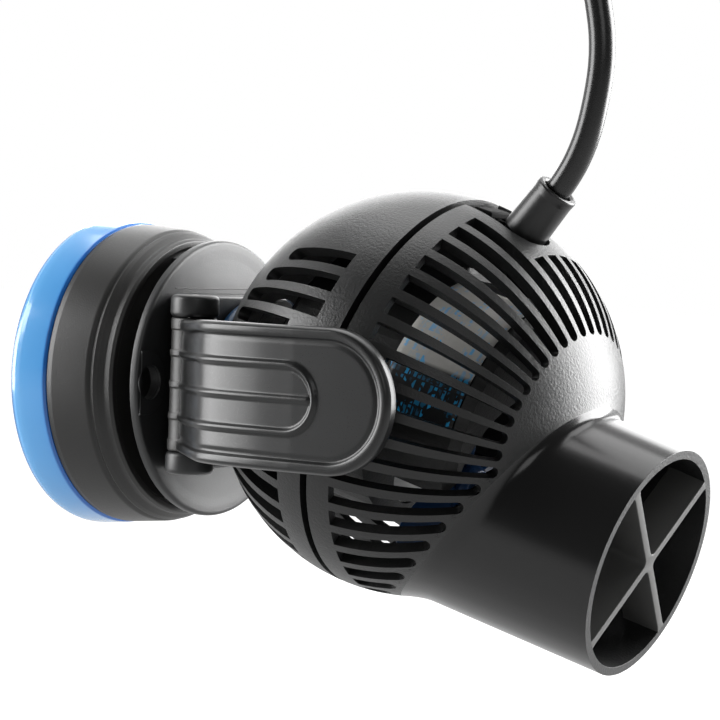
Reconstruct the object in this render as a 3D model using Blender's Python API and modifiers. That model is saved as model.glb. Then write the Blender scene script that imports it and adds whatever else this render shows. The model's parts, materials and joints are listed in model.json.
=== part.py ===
"""Wave maker pump: a slotted ball pump held by two jaws on a magnet mount.

Frame: the origin is the centre of the pad's glass face. +X runs along the magnet's axis, away
from the glass, -Y is the side of the near jaw, and +Z is up. Lengths are in metres.
The ball's own frame has its X along the outlet, which points down by OUTLET_DROP.
"""
import math

import bmesh
import bpy
from mathutils import Matrix, Vector

MM = 0.001
GAP = 0.3 * MM                        # clearance between touching pieces

# Magnet mount
PAD_RADIUS = 36.4 * MM
PAD_DEPTH = 10.6 * MM
HOUSING_BACK = PAD_DEPTH + GAP
HOUSING_RADIUS = 35.8 * MM
HOUSING_SHOULDER = 21.6 * MM          # x where the side turns into the chamfer
HOUSING_FRONT = 26.0 * MM
MAGNET_RADIUS = 29.0 * MM
MAGNET_BACK = HOUSING_BACK + GAP
MAGNET_FRONT = 18.6 * MM
YOKE_FRONT = 20.9 * MM
STUD_RADIUS = 4.0 * MM
NUT_RADIUS = 6.6 * MM

# Holder
PLATE_BACK = 30.3 * MM
PLATE_FRONT = 33.0 * MM
PLATE_RADIUS = 32.2 * MM
BLOCK_BACK = PLATE_FRONT + GAP
BLOCK_FRONT = 40.8 * MM
BLOCK_HALF_WIDTH = 21.0 * MM
BLOCK_HALF_HEIGHT = 20.0 * MM
SCREW_OFFSET = 14.0 * MM
HINGE_X = 44.0 * MM
HINGE_Y = 26.5 * MM
KNUCKLE_RADIUS = 5.4 * MM
KNUCKLE_DEPTH = 5.0 * MM
BARREL_RADIUS = 4.8 * MM
BARREL_HALF_HEIGHT = 14.6 * MM
PIN_RADIUS = 1.7 * MM

# Jaws
ARM_HALF_WIDTH = 15.2 * MM
ARM_WALL = 2.8 * MM
ARM_OUTER_Y = 49.2 * MM               # distance of a jaw's outer face from the XZ plane
ARM_TIP_X = 109.4 * MM
ARM_BEND = 53.8 * MM                  # a jaw's outer radius round the ball's centre
BEAD_RADIUS = 0.85 * MM
RIB_LOOP_RADIUS = 7.0 * MM

# Ball
BALL_X = 87.7 * MM
BALL_RADIUS = 45.0 * MM
BALL_WALL = 2.0 * MM
OUTLET_DROP = math.radians(15.6)
SLOT_COUNT = 45
SLOT_ROWS = 3                         # bands of cells along a slot
SLOT_PITCH = 2 * math.pi / SLOT_COUNT
SLOT_TURN = math.radians(2.55)         # of the first slot's middle from the ball's top
SLOT_HALF_ANGLE = math.radians(2.6)
SEAM_FRONT = 2.2 * MM
SEAM_REAR = 0.5 * MM
FRONT_SLOT_START = 7.5 * MM
FRONT_SLOT_END_LATITUDE = math.radians(54.0)
NOTCH_END = 19.6 * MM
NOTCH_SLOT_START = 22.1 * MM
NOTCH_REACH = math.radians(16)        # slots this near the top start below the notch
POLE_SLOT_START = 12.5 * MM
REAR_SLOT_START = 5.8 * MM
REAR_CAP_RADIUS = 9.0 * MM

# Outlet
TUBE_OFFSET = 15.7 * MM               # the outlet's axis lies this far below the ball's axis
TUBE_RADIUS = 25.3 * MM
TUBE_MOUTH = 63.9 * MM                # along the outlet from the ball's centre
FILLET_RADIUS = 27.3 * MM             # where the fillet round the outlet meets the ball
SLOT_KEEP_OUT = 28.7 * MM
VANE_THICKNESS = 1.4 * MM
VANE_DEPTH = 9.0 * MM
VANE_TURN = math.radians(45.0)

# Motor
CAN_RADIUS = 28.0 * MM
CAN_REAR = -24.0 * MM
CAN_FRONT = 27.0 * MM
CHAMBER_RADIUS = 24.6 * MM
CHAMBER_REAR = 4.0 * MM
ROTOR_RADIUS = 8.0 * MM
SHAFT_RADIUS = 2.0 * MM
BLADE_RADIUS = 21.6 * MM
BLADE_COUNT = 5

# Gland and cord
GLAND_BASE = (13.9 * MM, 0.0, 42.3 * MM)
GLAND_LEAN = math.radians(24.0)       # from the ball's up axis towards the outlet
GLAND_RADIUS = 4.85 * MM
GLAND_LENGTH = 11.5 * MM
CORD_RADIUS = 2.9 * MM
CORD_STEP = 12.0 * MM                 # spacing of the cord's points
COIL_HEADING = math.radians(32.0)     # heading of the coil's axis in plan
COIL_CENTRE = (43.0 * MM, 91.8 * MM, -6.0 * MM)
COIL_TURNS_ACROSS = 3
COIL_INNER_TURN = 24.0 * MM           # centreline radius of the innermost turn
COIL_MARGIN = 0.2 * MM
TAIL_RADIUS = 26.0 * MM
PLUG_RADIUS = 7.0 * MM
PLUG_LENGTH = 24.0 * MM
PLUG_RELIEF_LENGTH = 12.0 * MM
PLUG_SHELL_RADIUS = 6.6 * MM
PLUG_SHELL_LENGTH = 10.0 * MM
PLUG_PIN_COUNT = 3
PLUG_PIN_RING = 3.2 * MM

# Route of the free cord from the gland to the coil, in millimetres
CORD_ROUTE_MM = [
    (112.4, 0.0, 37.0), (116.1, 0.0, 41.4), (119.2, 0.0, 45.1), (121.6, 0.0, 48.3),
    (124.0, 0.0, 52.4), (126.2, 0.0, 58.0), (127.8, 0.0, 65.0), (128.7, 0.0, 72.2),
    (128.5, 0.0, 79.0), (127.3, 0.0, 85.6), (125.8, 0.1, 92.0), (124.3, 2.2, 104.0),
    (121.1, 8.8, 116.4), (116.0, 18.7, 125.4), (110.2, 30.2, 129.2), (104.4, 41.7, 127.6),
    (99.2, 51.6, 121.0), (95.8, 58.2, 110.8), (94.8, 60.2, 100.6), (96.6, 60.4, 92.8),
    (98.0, 60.4, 85.3), (98.2, 60.4, 77.6), (97.2, 60.4, 69.5), (95.4, 60.4, 61.6),
    (92.9, 60.4, 55.3), (90.2, 60.4, 50.6), (87.5, 60.4, 47.0), (84.0, 60.4, 42.8),
    (80.4, 60.7, 38.0), (76.8, 61.3, 32.6), (73.4, 62.1, 27.0), (70.6, 62.9, 21.2),
    (68.6, 63.7, 15.2),
]


def reset_scene():
    """Remove every object that the file starts with."""
    for item in list(bpy.data.objects):
        bpy.data.objects.remove(item, do_unlink=True)


def new_collection(name):
    """A collection linked to the scene."""
    made = bpy.data.collections.new(name)
    bpy.context.scene.collection.children.link(made)
    return made


def new_material(name, colour, roughness, metallic=0.0):
    """A Principled material of one colour."""
    material = bpy.data.materials.new(name)
    material.use_nodes = True
    surface = material.node_tree.nodes["Principled BSDF"]
    surface.inputs["Base Color"].default_value = (*colour, 1.0)
    surface.inputs["Roughness"].default_value = roughness
    surface.inputs["Metallic"].default_value = metallic
    return material


def new_empty(name, location, parent=None, tilt=0.0, collection=None):
    """An axis marker; tilt turns it about its own Y."""
    marker = bpy.data.objects.new(name, None)
    marker.empty_display_size = 10 * MM
    marker.parent = parent
    marker.location = location
    marker.rotation_euler = (0.0, tilt, 0.0)
    collection.objects.link(marker)
    return marker


def add_object(name, mesh, material, parent=None, location=(0, 0, 0), rotation=(0, 0, 0)):
    """Link a mesh object into the pump's collection."""
    made = bpy.data.objects.new(name, mesh)
    made.data.materials.append(material)
    made.parent = parent
    made.location = location
    made.rotation_euler = rotation
    PIECES.objects.link(made)
    return made


def add_cutter(name, mesh, parent=None, location=(0, 0, 0), rotation=(0, 0, 0)):
    """Link a mesh object that only cuts or joins others."""
    made = bpy.data.objects.new(name, mesh)
    made.parent = parent
    made.location = location
    made.rotation_euler = rotation
    made.hide_render = True
    made.display_type = "WIRE"
    CUTTERS.objects.link(made)
    return made


def mesh_from(bm, name, smooth_angle=None):
    """Turn a bmesh into a mesh, smooth up to an angle."""
    mesh = bpy.data.meshes.new(name)
    bm.to_mesh(mesh)
    bm.free()
    if smooth_angle is not None:
        mesh.shade_smooth()
        mesh.set_sharp_from_angle(angle=math.radians(smooth_angle))
    return mesh


def box_mesh(name, low, high):
    """A box between two corners."""
    bm = bmesh.new()
    size = [high[i] - low[i] for i in range(3)]
    centre = [(high[i] + low[i]) / 2 for i in range(3)]
    place = Matrix.Translation(centre) @ Matrix.Diagonal((*size, 1.0))
    bmesh.ops.create_cube(bm, size=1.0, matrix=place)
    return mesh_from(bm, name)


def cylinder_mesh(name, radius, start, end, axis="X", at=(0.0, 0.0), segments=32, radius_end=None):
    """A cylinder or cone frustum along an axis, at the given place across it."""
    bm = bmesh.new()
    middle = (start + end) / 2
    if axis == "X":
        place = Matrix.Translation((middle, *at)) @ Matrix.Rotation(math.pi / 2, 4, "Y")
    elif axis == "Y":
        place = Matrix.Translation((at[0], middle, at[1])) @ Matrix.Rotation(-math.pi / 2, 4, "X")
    else:
        place = Matrix.Translation((*at, middle))
    top = radius if radius_end is None else radius_end
    bmesh.ops.create_cone(
        bm, cap_ends=True, segments=segments, radius1=radius, radius2=top,
        depth=end - start, matrix=place)
    return mesh_from(bm, name, 40)


def profile_mesh(name, profile, closed):
    """A turned piece's profile, as points (radius, height) in the XZ plane."""
    bm = bmesh.new()
    points = [bm.verts.new((radius, 0.0, height)) for radius, height in profile]
    for first, second in zip(points, points[1:]):
        bm.edges.new((first, second))
    if closed:
        bm.edges.new((points[-1], points[0]))
    return mesh_from(bm, name)


def add_screw(target, segments):
    """Turn a profile about its Z axis."""
    turn = target.modifiers.new("Turn", "SCREW")
    turn.axis = "Z"
    turn.steps = segments
    turn.render_steps = segments
    turn.use_merge_vertices = True
    turn.merge_threshold = 1e-6
    turn.use_smooth_shade = True


def turned(name, profile, material, parent=None, location=(0, 0, 0), rotation=None, segments=36):
    """A turned piece. Its height runs along its parent's X unless a rotation is given.

    The profile runs down the outer side, from the far end to the near one, and is a closed ring
    unless it starts on the axis.
    """
    closed = profile[0][0] > 1e-9
    facing = (0.0, math.pi / 2, 0.0) if rotation is None else rotation
    made = add_object(name, profile_mesh(name, profile, closed), material, parent, location, facing)
    add_screw(made, segments)
    return made


def add_boolean(target, tool, operation="DIFFERENCE"):
    """Cut a tool from a target, or join it on."""
    step = target.modifiers.new(operation.title(), "BOOLEAN")
    step.operation = operation
    step.object = tool
    step.solver = "EXACT"


def add_bevel(target, width, segments=2, angle=40):
    """Round the edges sharper than an angle."""
    step = target.modifiers.new("Edges", "BEVEL")
    step.width = width
    step.segments = segments
    step.limit_method = "ANGLE"
    step.angle_limit = math.radians(angle)


def arc(centre, radius, start, end, steps):
    """Points of an arc in degrees, both ends included."""
    points = []
    for step in range(steps + 1):
        angle = math.radians(start + (end - start) * step / steps)
        points.append((centre[0] + radius * math.cos(angle), centre[1] + radius * math.sin(angle)))
    return points


def smooth_route(points, steps):
    """Points along a Catmull-Rom curve through a route."""
    padded = [2 * points[0] - points[1], *points, 2 * points[-1] - points[-2]]
    route = []
    for i in range(1, len(padded) - 2):
        before, start, end, after = padded[i - 1:i + 3]
        for step in range(steps):
            t = step / steps
            route.append(0.5 * (
                2 * start + (end - before) * t
                + (2 * before - 5 * start + 4 * end - after) * t ** 2
                + (3 * start - before - 3 * end + after) * t ** 3))
    route.append(points[-1])
    return route


def evenly_spaced(points, spacing):
    """Points about a spacing apart along a polyline, both ends included."""
    reached = [0.0]
    for start, end in zip(points, points[1:]):
        reached.append(reached[-1] + (end - start).length)
    count = round(reached[-1] / spacing)
    spaced = [points[0]]
    for index in range(1, count):
        wanted = reached[-1] * index / count
        after = next(i for i, length in enumerate(reached) if length >= wanted)
        blend = (wanted - reached[after - 1]) / (reached[after] - reached[after - 1])
        spaced.append(points[after - 1].lerp(points[after], blend))
    return [*spaced, points[-1]]


def tube_curve(name, points, radius, resolution=2):
    """A round bar along points, as curve data."""
    curve = bpy.data.curves.new(name, "CURVE")
    curve.dimensions = "3D"
    curve.bevel_depth = radius
    curve.bevel_resolution = resolution
    curve.use_fill_caps = True
    spline = curve.splines.new("POLY")
    spline.points.add(len(points) - 1)
    for target, point in zip(spline.points, points):
        target.co = (*point, 1.0)
    return curve


def curve_as_mesh(curve, name):
    """The closed mesh of a curve, for cutting and joining."""
    holder = bpy.data.objects.new(name, curve)
    bpy.context.scene.collection.objects.link(holder)
    bpy.context.view_layer.update()
    evaluated = holder.evaluated_get(bpy.context.evaluated_depsgraph_get())
    mesh = bpy.data.meshes.new_from_object(evaluated)
    bpy.data.objects.remove(holder, do_unlink=True)
    bm = bmesh.new()
    bm.from_mesh(mesh)
    bmesh.ops.remove_doubles(bm, verts=bm.verts, dist=1e-6)
    bm.to_mesh(mesh)
    bm.free()
    return mesh


def plate_curve(name, outline, thickness):
    """A flat outline in XY with a thickness along Z, as curve data."""
    curve = bpy.data.curves.new(name, "CURVE")
    curve.dimensions = "2D"
    curve.fill_mode = "BOTH"
    curve.extrude = thickness / 2
    spline = curve.splines.new("POLY")
    spline.use_cyclic_u = True
    spline.points.add(len(outline) - 1)
    for target, point in zip(spline.points, outline):
        target.co = (point[0], point[1], 0.0, 1.0)
    return curve


def make_glass_pad(blue):
    """The thick friction pad that lies on the glass."""
    profile = [(0.0, PAD_DEPTH), (PAD_RADIUS - 1.4 * MM, PAD_DEPTH)]
    profile += [(PAD_RADIUS - 0.5 * MM, PAD_DEPTH - 0.7 * MM)]
    profile += arc((PAD_RADIUS - 4 * MM, 4 * MM), 4 * MM, 0, -80, 4)
    profile += [(PAD_RADIUS - 4 * MM, 0.0), (0.0, 0.0)]
    return turned("glass_pad", profile, blue, segments=44)


def make_magnet_housing(black):
    """The cup that covers the magnet, with a stepped front and a hole for the stud."""
    cavity = MAGNET_RADIUS + GAP
    bore = STUD_RADIUS + GAP
    profile = [
        (bore, HOUSING_FRONT - 1.6 * MM), (29.6 * MM, HOUSING_FRONT - 1.6 * MM),
        (30.2 * MM, HOUSING_FRONT), (32.0 * MM, HOUSING_FRONT),
        (32.6 * MM, HOUSING_FRONT - 0.6 * MM), (32.2 * MM, HOUSING_SHOULDER + 1.5 * MM),
        (34.2 * MM, HOUSING_SHOULDER), (HOUSING_RADIUS, HOUSING_BACK + 1.0 * MM),
        (HOUSING_RADIUS - 0.6 * MM, HOUSING_BACK), (cavity, HOUSING_BACK),
        (cavity, YOKE_FRONT + GAP), (bore, YOKE_FRONT + GAP),
    ]
    return turned("magnet_housing", profile, black, segments=44)


def make_magnet_stack(ferrite, steel):
    """The ring magnet and its steel yoke inside the housing."""
    inner = 9.6 * MM
    magnet = [(inner, MAGNET_FRONT), (MAGNET_RADIUS, MAGNET_FRONT),
              (MAGNET_RADIUS, MAGNET_BACK), (inner, MAGNET_BACK)]
    turned("holding_magnet", magnet, ferrite)
    back = MAGNET_FRONT + GAP
    yoke = [(inner, YOKE_FRONT), (MAGNET_RADIUS, YOKE_FRONT), (MAGNET_RADIUS, back), (inner, back)]
    turned("yoke_ring", yoke, steel)


def make_stud(steel):
    """The stud that the holder turns on, and the nut that keeps the plate on it."""
    head = 8.8 * MM
    tip = 38.6 * MM
    stud = [(0.0, tip), (STUD_RADIUS - 0.6 * MM, tip), (STUD_RADIUS, tip - 0.6 * MM),
            (STUD_RADIUS, YOKE_FRONT - 0.2 * MM), (head, YOKE_FRONT - 0.2 * MM),
            (head, YOKE_FRONT - 4.0 * MM), (0.0, YOKE_FRONT - 4.0 * MM)]
    turned("turn_stud", stud, steel, segments=24)
    back = PLATE_FRONT + GAP
    front = back + 3.6 * MM
    bore = (STUD_RADIUS + 0.25 * MM) / math.cos(math.pi / 6)
    nut = [(bore, front), (NUT_RADIUS - 0.6 * MM, front), (NUT_RADIUS, front - 0.6 * MM),
           (NUT_RADIUS, back), (bore, back)]
    turned("stud_nut", nut, steel, segments=6)


def make_holder_plate(plastic, axis):
    """The round plate with a back skirt and a round hole with a raised frame."""
    bore = STUD_RADIUS + 0.4 * MM
    profile = [(bore, PLATE_FRONT), (PLATE_RADIUS - 0.9 * MM, PLATE_FRONT)]
    profile += [(PLATE_RADIUS - 0.2 * MM, PLATE_FRONT - 0.3 * MM)]
    profile += [(PLATE_RADIUS, PLATE_FRONT - 1.0 * MM)]
    profile += [(PLATE_RADIUS, PLATE_BACK + 0.9 * MM), (PLATE_RADIUS - 0.8 * MM, PLATE_BACK)]
    profile += [(30.4 * MM, PLATE_BACK), (30.4 * MM, HOUSING_FRONT + GAP)]
    profile += [(28.6 * MM, HOUSING_FRONT + GAP), (28.6 * MM, PLATE_BACK), (bore, PLATE_BACK)]
    plate = turned("holder_plate", profile, plastic, axis, segments=44)

    window = box_mesh("skirt_window", (20 * MM, -40 * MM, -27 * MM),
                      (PLATE_BACK - 0.5 * MM, 40 * MM, 27 * MM))
    add_boolean(plate, add_cutter("skirt_window", window, axis))

    frame_outline = [(-31.0 * MM, 6.9 * MM), (-31.0 * MM, -7.5 * MM)]
    for across, up in arc((0.0, 0.0), 1.0, -90, 90, 10):
        frame_outline.append(((6.0 * across - 28.2) * MM, (7.2 * up - 0.3) * MM))
    frame = curve_as_mesh(plate_curve("keyhole_frame", frame_outline, 0.9 * MM), "keyhole_frame")
    frame.transform(Matrix.Translation((PLATE_FRONT - 0.1 * MM, 0, 0)) @ yz_from_xy())
    add_boolean(plate, add_cutter("keyhole_frame", frame, axis), "UNION")

    hole_outline = arc((-27.7 * MM, -0.2 * MM), 4.05 * MM, 0, 340, 17)
    hole = curve_as_mesh(plate_curve("keyhole", hole_outline, 12 * MM), "keyhole")
    hole.transform(Matrix.Translation((PLATE_FRONT, 0, 0)) @ yz_from_xy())
    add_boolean(plate, add_cutter("keyhole", hole, axis))
    for index, (y, z) in enumerate(screw_places()):
        bore_mesh = cylinder_mesh("plate_bore", 1.6 * MM, 20 * MM, 36 * MM, "X", (y, z), 12)
        add_boolean(plate, add_cutter(f"plate_bore_{index + 1}", bore_mesh, axis))
    return plate


def yz_from_xy():
    """Turn a flat outline drawn in (y, z) so that its thickness runs along X."""
    return Matrix(((0, 0, 1, 0), (1, 0, 0, 0), (0, 1, 0, 0), (0, 0, 0, 1)))


def screw_places():
    """Where the four screws join the plate and the clamp base."""
    return [(y * SCREW_OFFSET, z * SCREW_OFFSET) for y in (-1, 1) for z in (-1, 1)]


def make_plate_screws(steel, axis):
    """Four screws from the back of the plate into the clamp base."""
    for index, (y, z) in enumerate(screw_places()):
        head = 2.6 * MM
        back = PLATE_BACK - GAP
        profile = [(0.0, 39.0 * MM), (1.2 * MM, 38.4 * MM), (1.2 * MM, back), (head, back),
                   (head, back - 1.3 * MM), (head - 0.6 * MM, back - 1.8 * MM),
                   (0.0, back - 1.8 * MM)]
        turned(f"plate_screw_{index + 1}", profile, steel, axis, (0, y, z), segments=12)


def make_clamp_base(plastic, axis):
    """The block on the plate, with four knuckles for the jaws' hinge pins."""
    block = box_mesh("clamp_base", (BLOCK_BACK, -BLOCK_HALF_WIDTH, -BLOCK_HALF_HEIGHT),
                     (BLOCK_FRONT, BLOCK_HALF_WIDTH, BLOCK_HALF_HEIGHT))
    base = add_object("clamp_base", block, plastic, axis)
    add_bevel(base, 1.2 * MM, 1)
    for side in (-1, 1):
        for level in (-1, 1):
            name = f"knuckle_{side_name(side)}_{'low' if level < 0 else 'high'}"
            knuckle = curve_as_mesh(plate_curve(name, knuckle_outline(side), KNUCKLE_DEPTH), name)
            height = level * (BLOCK_HALF_HEIGHT - KNUCKLE_DEPTH / 2 - 0.05 * MM)
            knuckle.transform(Matrix.Translation((0, 0, height)))
            add_boolean(base, add_cutter(name, knuckle, axis), "UNION")
    for side in (-1, 1):
        at = (HINGE_X, side * HINGE_Y)
        swing = cylinder_mesh("barrel_room", BARREL_RADIUS + 0.5 * MM, -BARREL_HALF_HEIGHT - GAP,
                              BARREL_HALF_HEIGHT + GAP, "Z", at, 32)
        add_boolean(base, add_cutter(f"barrel_room_{side_name(side)}", swing, axis))
        hole = cylinder_mesh("pin_hole", PIN_RADIUS + GAP, -30 * MM, 30 * MM, "Z", at, 16)
        add_boolean(base, add_cutter(f"pin_hole_{side_name(side)}", hole, axis))
    well = cylinder_mesh("nut_well", NUT_RADIUS + 1.2 * MM, 30 * MM, 50 * MM, "X", (0, 0), 24)
    add_boolean(base, add_cutter("nut_well", well, axis))
    for index, (y, z) in enumerate(screw_places()):
        bore = cylinder_mesh("block_bore", 1.5 * MM, 30 * MM, 39.6 * MM, "X", (y, z), 12)
        add_boolean(base, add_cutter(f"block_bore_{index + 1}", bore, axis))
    return base


def side_name(side):
    """The name of the -Y side or the +Y side."""
    return "near" if side < 0 else "far"


def knuckle_outline(side):
    """A knuckle's plan: from the block's side round the hinge pin and back to its front."""
    centre = (HINGE_X, side * HINGE_Y)
    turn = arc(centre, KNUCKLE_RADIUS, 140 * side, -35 * side, 9)
    root_back = (BLOCK_BACK + 1.3 * MM, side * (BLOCK_HALF_WIDTH + 0.6 * MM))
    root_inner = (BLOCK_BACK + 1.3 * MM, side * (BLOCK_HALF_WIDTH - 4 * MM))
    front_inner = (BLOCK_FRONT - 0.4 * MM, side * (BLOCK_HALF_WIDTH - 4 * MM))
    return [front_inner, root_inner, root_back, *turn]


def make_buffer_ring(blue, axis):
    """The soft ring that steadies the ball against the clamp base."""
    major = 17.0 * MM
    minor = 2.2 * MM
    ring = arc((major, BLOCK_FRONT + GAP + minor), minor, 90, -225, 7)
    return turned("buffer_ring", ring, blue, axis, segments=28)


def make_hinge_pins(steel, axis):
    """The jaws' hinge pins."""
    half = BLOCK_HALF_HEIGHT - 0.4 * MM
    for side in (-1, 1):
        pin = cylinder_mesh("hinge_pin", PIN_RADIUS, -half, half, "Z", (0, 0), 16)
        place = (HINGE_X, side * HINGE_Y, 0)
        add_object(f"hinge_pin_{side_name(side)}", pin, steel, axis, place)


def arm_path():
    """The outer line of a jaw in plan, relative to the hinge: round the ball, then straight."""
    points = []
    for angle in (29, 36, 43, 50, 57):
        turn = math.radians(angle)
        points.append((BALL_X - ARM_BEND * math.cos(turn), ARM_BEND * math.sin(turn)))
    points += [(BALL_X - 25.4 * MM, ARM_OUTER_Y - 1.9 * MM),
               (BALL_X - 20.6 * MM, ARM_OUTER_Y - 0.4 * MM)]
    points += [(BALL_X - 15.5 * MM, ARM_OUTER_Y), (arm_end_centre(), ARM_OUTER_Y)]
    return [(x - HINGE_X, y - HINGE_Y) for x, y in points]


def arm_end_centre():
    """Where the centre of a jaw's round end lies along X."""
    return ARM_TIP_X - ARM_HALF_WIDTH


def arm_point(distance_x, across, lift=0.0):
    """A point on a jaw's outer face, raised by lift: (x, outwards, z), relative to the hinge."""
    path = arm_path()
    x, outward = path[-1]
    normal = (0.0, 1.0)
    if distance_x < path[-1][0]:
        for (x0, y0), (x1, y1) in zip(path, path[1:]):
            if x0 <= distance_x <= x1:
                blend = (distance_x - x0) / (x1 - x0)
                outward = y0 + (y1 - y0) * blend
                run = math.hypot(x1 - x0, y1 - y0)
                normal = (-(y1 - y0) / run, (x1 - x0) / run)
                break
    return (distance_x + normal[0] * lift, outward + normal[1] * lift, across)


def make_arm_shell(side):
    """A jaw's curved plate with a round end, as an open surface on its outer face."""
    bm = bmesh.new()
    rows = [(x, y, BARREL_HALF_HEIGHT if x < 12 * MM else ARM_HALF_WIDTH) for x, y in arm_path()]
    end_x, end_y = arm_path()[-1]
    for angle in (14, 28, 42, 54, 65, 75, 83):
        turn = math.radians(angle)
        reach = ARM_HALF_WIDTH * math.sin(turn)
        rows.append((end_x + reach, end_y, ARM_HALF_WIDTH * math.cos(turn)))
    levels = (-1.0, -0.5, 0.0, 0.5, 1.0)
    grid = []
    for x, y, half in rows:
        grid.append([bm.verts.new((x, side * y, half * level)) for level in levels])
    for lower, upper in zip(grid, grid[1:]):
        for i in range(len(levels) - 1):
            corners = [lower[i], lower[i + 1], upper[i + 1], upper[i]]
            bm.faces.new(corners if side < 0 else corners[::-1])
    bmesh.ops.recalc_face_normals(bm, faces=bm.faces)
    middle = bm.faces[:][len(bm.faces) // 2]
    if middle.normal.y * side < 0:
        bmesh.ops.reverse_faces(bm, faces=bm.faces)
    return mesh_from(bm, f"clamp_arm_{side_name(side)}", 50)


def arm_border():
    """The bead round a jaw's edge, as (x, z) relative to the hinge."""
    inset = ARM_HALF_WIDTH - 1.3 * MM
    centre = arm_end_centre() - HINGE_X
    starts = [9.5 * MM, 14 * MM, 19 * MM, 25 * MM, 31 * MM, 38 * MM]
    upper = [(x, inset) for x in starts]
    round_end = arc((centre, 0.0), inset, 90, -90, 12)
    return upper + round_end + [(x, -z) for x, z in reversed(upper)]


def arm_rib_loop():
    """The long U-shaped rib on a jaw's face, as (x, z) relative to the hinge."""
    centre = 40.0 * MM
    starts = [9.5 * MM, 14 * MM, 19 * MM, 25 * MM, 31 * MM, 36 * MM]
    upper = [(x, RIB_LOOP_RADIUS) for x in starts]
    round_end = arc((centre, 0.0), RIB_LOOP_RADIUS, 90, -90, 8)
    return upper + round_end + [(x, -z) for x, z in reversed(upper)]


def arm_centre_rib():
    """The straight rib down the middle of a jaw."""
    return [(x * MM, 0.0) for x in (9.5, 14, 19, 25, 31, 36, 40)]


def make_clamp_arm(plastic, rubber, axis, side):
    """A jaw with its hinge barrel, beads and ribs, and the grip pad inside it."""
    name = side_name(side)
    arm = add_object(f"clamp_arm_{name}", make_arm_shell(side), plastic, axis)
    wall = arm.modifiers.new("Wall", "SOLIDIFY")
    wall.thickness = ARM_WALL
    wall.offset = -1.0
    wall.use_even_offset = True
    barrel = cylinder_mesh("barrel", BARREL_RADIUS, -BARREL_HALF_HEIGHT, BARREL_HALF_HEIGHT, "Z",
                           (0, 0), 24)
    add_boolean(arm, add_cutter(f"barrel_{name}", barrel, axis), "UNION")
    for label, line in (("border", arm_border()), ("loop", arm_rib_loop()),
                        ("rib", arm_centre_rib())):
        route = [arm_point(x, z, -0.25 * MM) for x, z in line]
        bead = tube_curve(label, [(x, side * y, z) for x, y, z in route], BEAD_RADIUS, 0)
        mesh = curve_as_mesh(bead, label)
        add_boolean(arm, add_cutter(f"{label}_{name}", mesh, axis), "UNION")
    bore = cylinder_mesh("barrel_bore", PIN_RADIUS + GAP, -30 * MM, 30 * MM, "Z", (0, 0), 16)
    add_boolean(arm, add_cutter(f"barrel_bore_{name}", bore, axis))
    make_grip_pad(rubber, axis, side)
    return arm


def make_grip_pad(rubber, axis, side):
    """The rubber washer between a jaw and the ball's side, coned to fit the ball."""
    outer = 10.0 * MM
    inner = 4.0 * MM
    back = ARM_OUTER_Y - ARM_WALL - GAP
    clear = BALL_RADIUS + GAP
    front_outer = math.sqrt(clear ** 2 - outer ** 2)
    front_inner = math.sqrt(clear ** 2 - inner ** 2)
    profile = [(inner, back), (outer, back), (outer, front_outer + 0.1 * MM),
               (inner, front_inner + 0.1 * MM)]
    facing = (math.radians(-90 * side), 0.0, 0.0)
    place = (BALL_X - HINGE_X, -side * HINGE_Y, 0.0)
    turned(f"grip_pad_{side_name(side)}", profile, rubber, axis, place, facing, segments=24)


def slot_columns():
    """The angles of the slots' edges round the ball's axis."""
    columns = []
    for index in range(SLOT_COUNT):
        centre = SLOT_TURN + index * SLOT_PITCH
        columns += [centre - SLOT_HALF_ANGLE, centre + SLOT_HALF_ANGLE]
    return columns


def nearest_slot(angle):
    """The angle of the middle of the slot nearest to an angle."""
    return SLOT_TURN + round((angle - SLOT_TURN) / SLOT_PITCH) * SLOT_PITCH


def from_top(angle):
    """An angle's distance from the top of the ball, 0 to pi."""
    wrapped = angle % (2 * math.pi)
    return min(wrapped, 2 * math.pi - wrapped)


def radius_round_tube(angle, reach):
    """Distance from the ball's axis, at an angle, of the circle of a reach round the outlet."""
    across = TUBE_OFFSET * math.sin(angle)
    return -TUBE_OFFSET * math.cos(angle) + math.sqrt(reach ** 2 - across ** 2)


def latitude_of_radius(radius):
    """The ball's latitude, from its seam, where it is that far from its axis."""
    return math.acos(min(radius / BALL_RADIUS, 1.0))


def ball_point(latitude, angle, radius=BALL_RADIUS):
    """A point on the ball: angle 0 is its top and a quarter turn is its near side."""
    ring = radius * math.cos(latitude)
    return Vector((radius * math.sin(latitude), -ring * math.sin(angle), ring * math.cos(angle)))


def front_slot_limits(angle):
    """The latitudes where the front slots start and end at an angle."""
    top = from_top(nearest_slot(angle))
    start = FRONT_SLOT_START
    if top < NOTCH_REACH:
        start = NOTCH_SLOT_START
    if abs(top - math.pi / 2) < math.radians(16):
        start = POLE_SLOT_START
    first = math.asin(start / BALL_RADIUS)
    last = min(FRONT_SLOT_END_LATITUDE,
               latitude_of_radius(radius_round_tube(angle, SLOT_KEEP_OUT)))
    return first, max(last, first + math.radians(1.0))


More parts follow.
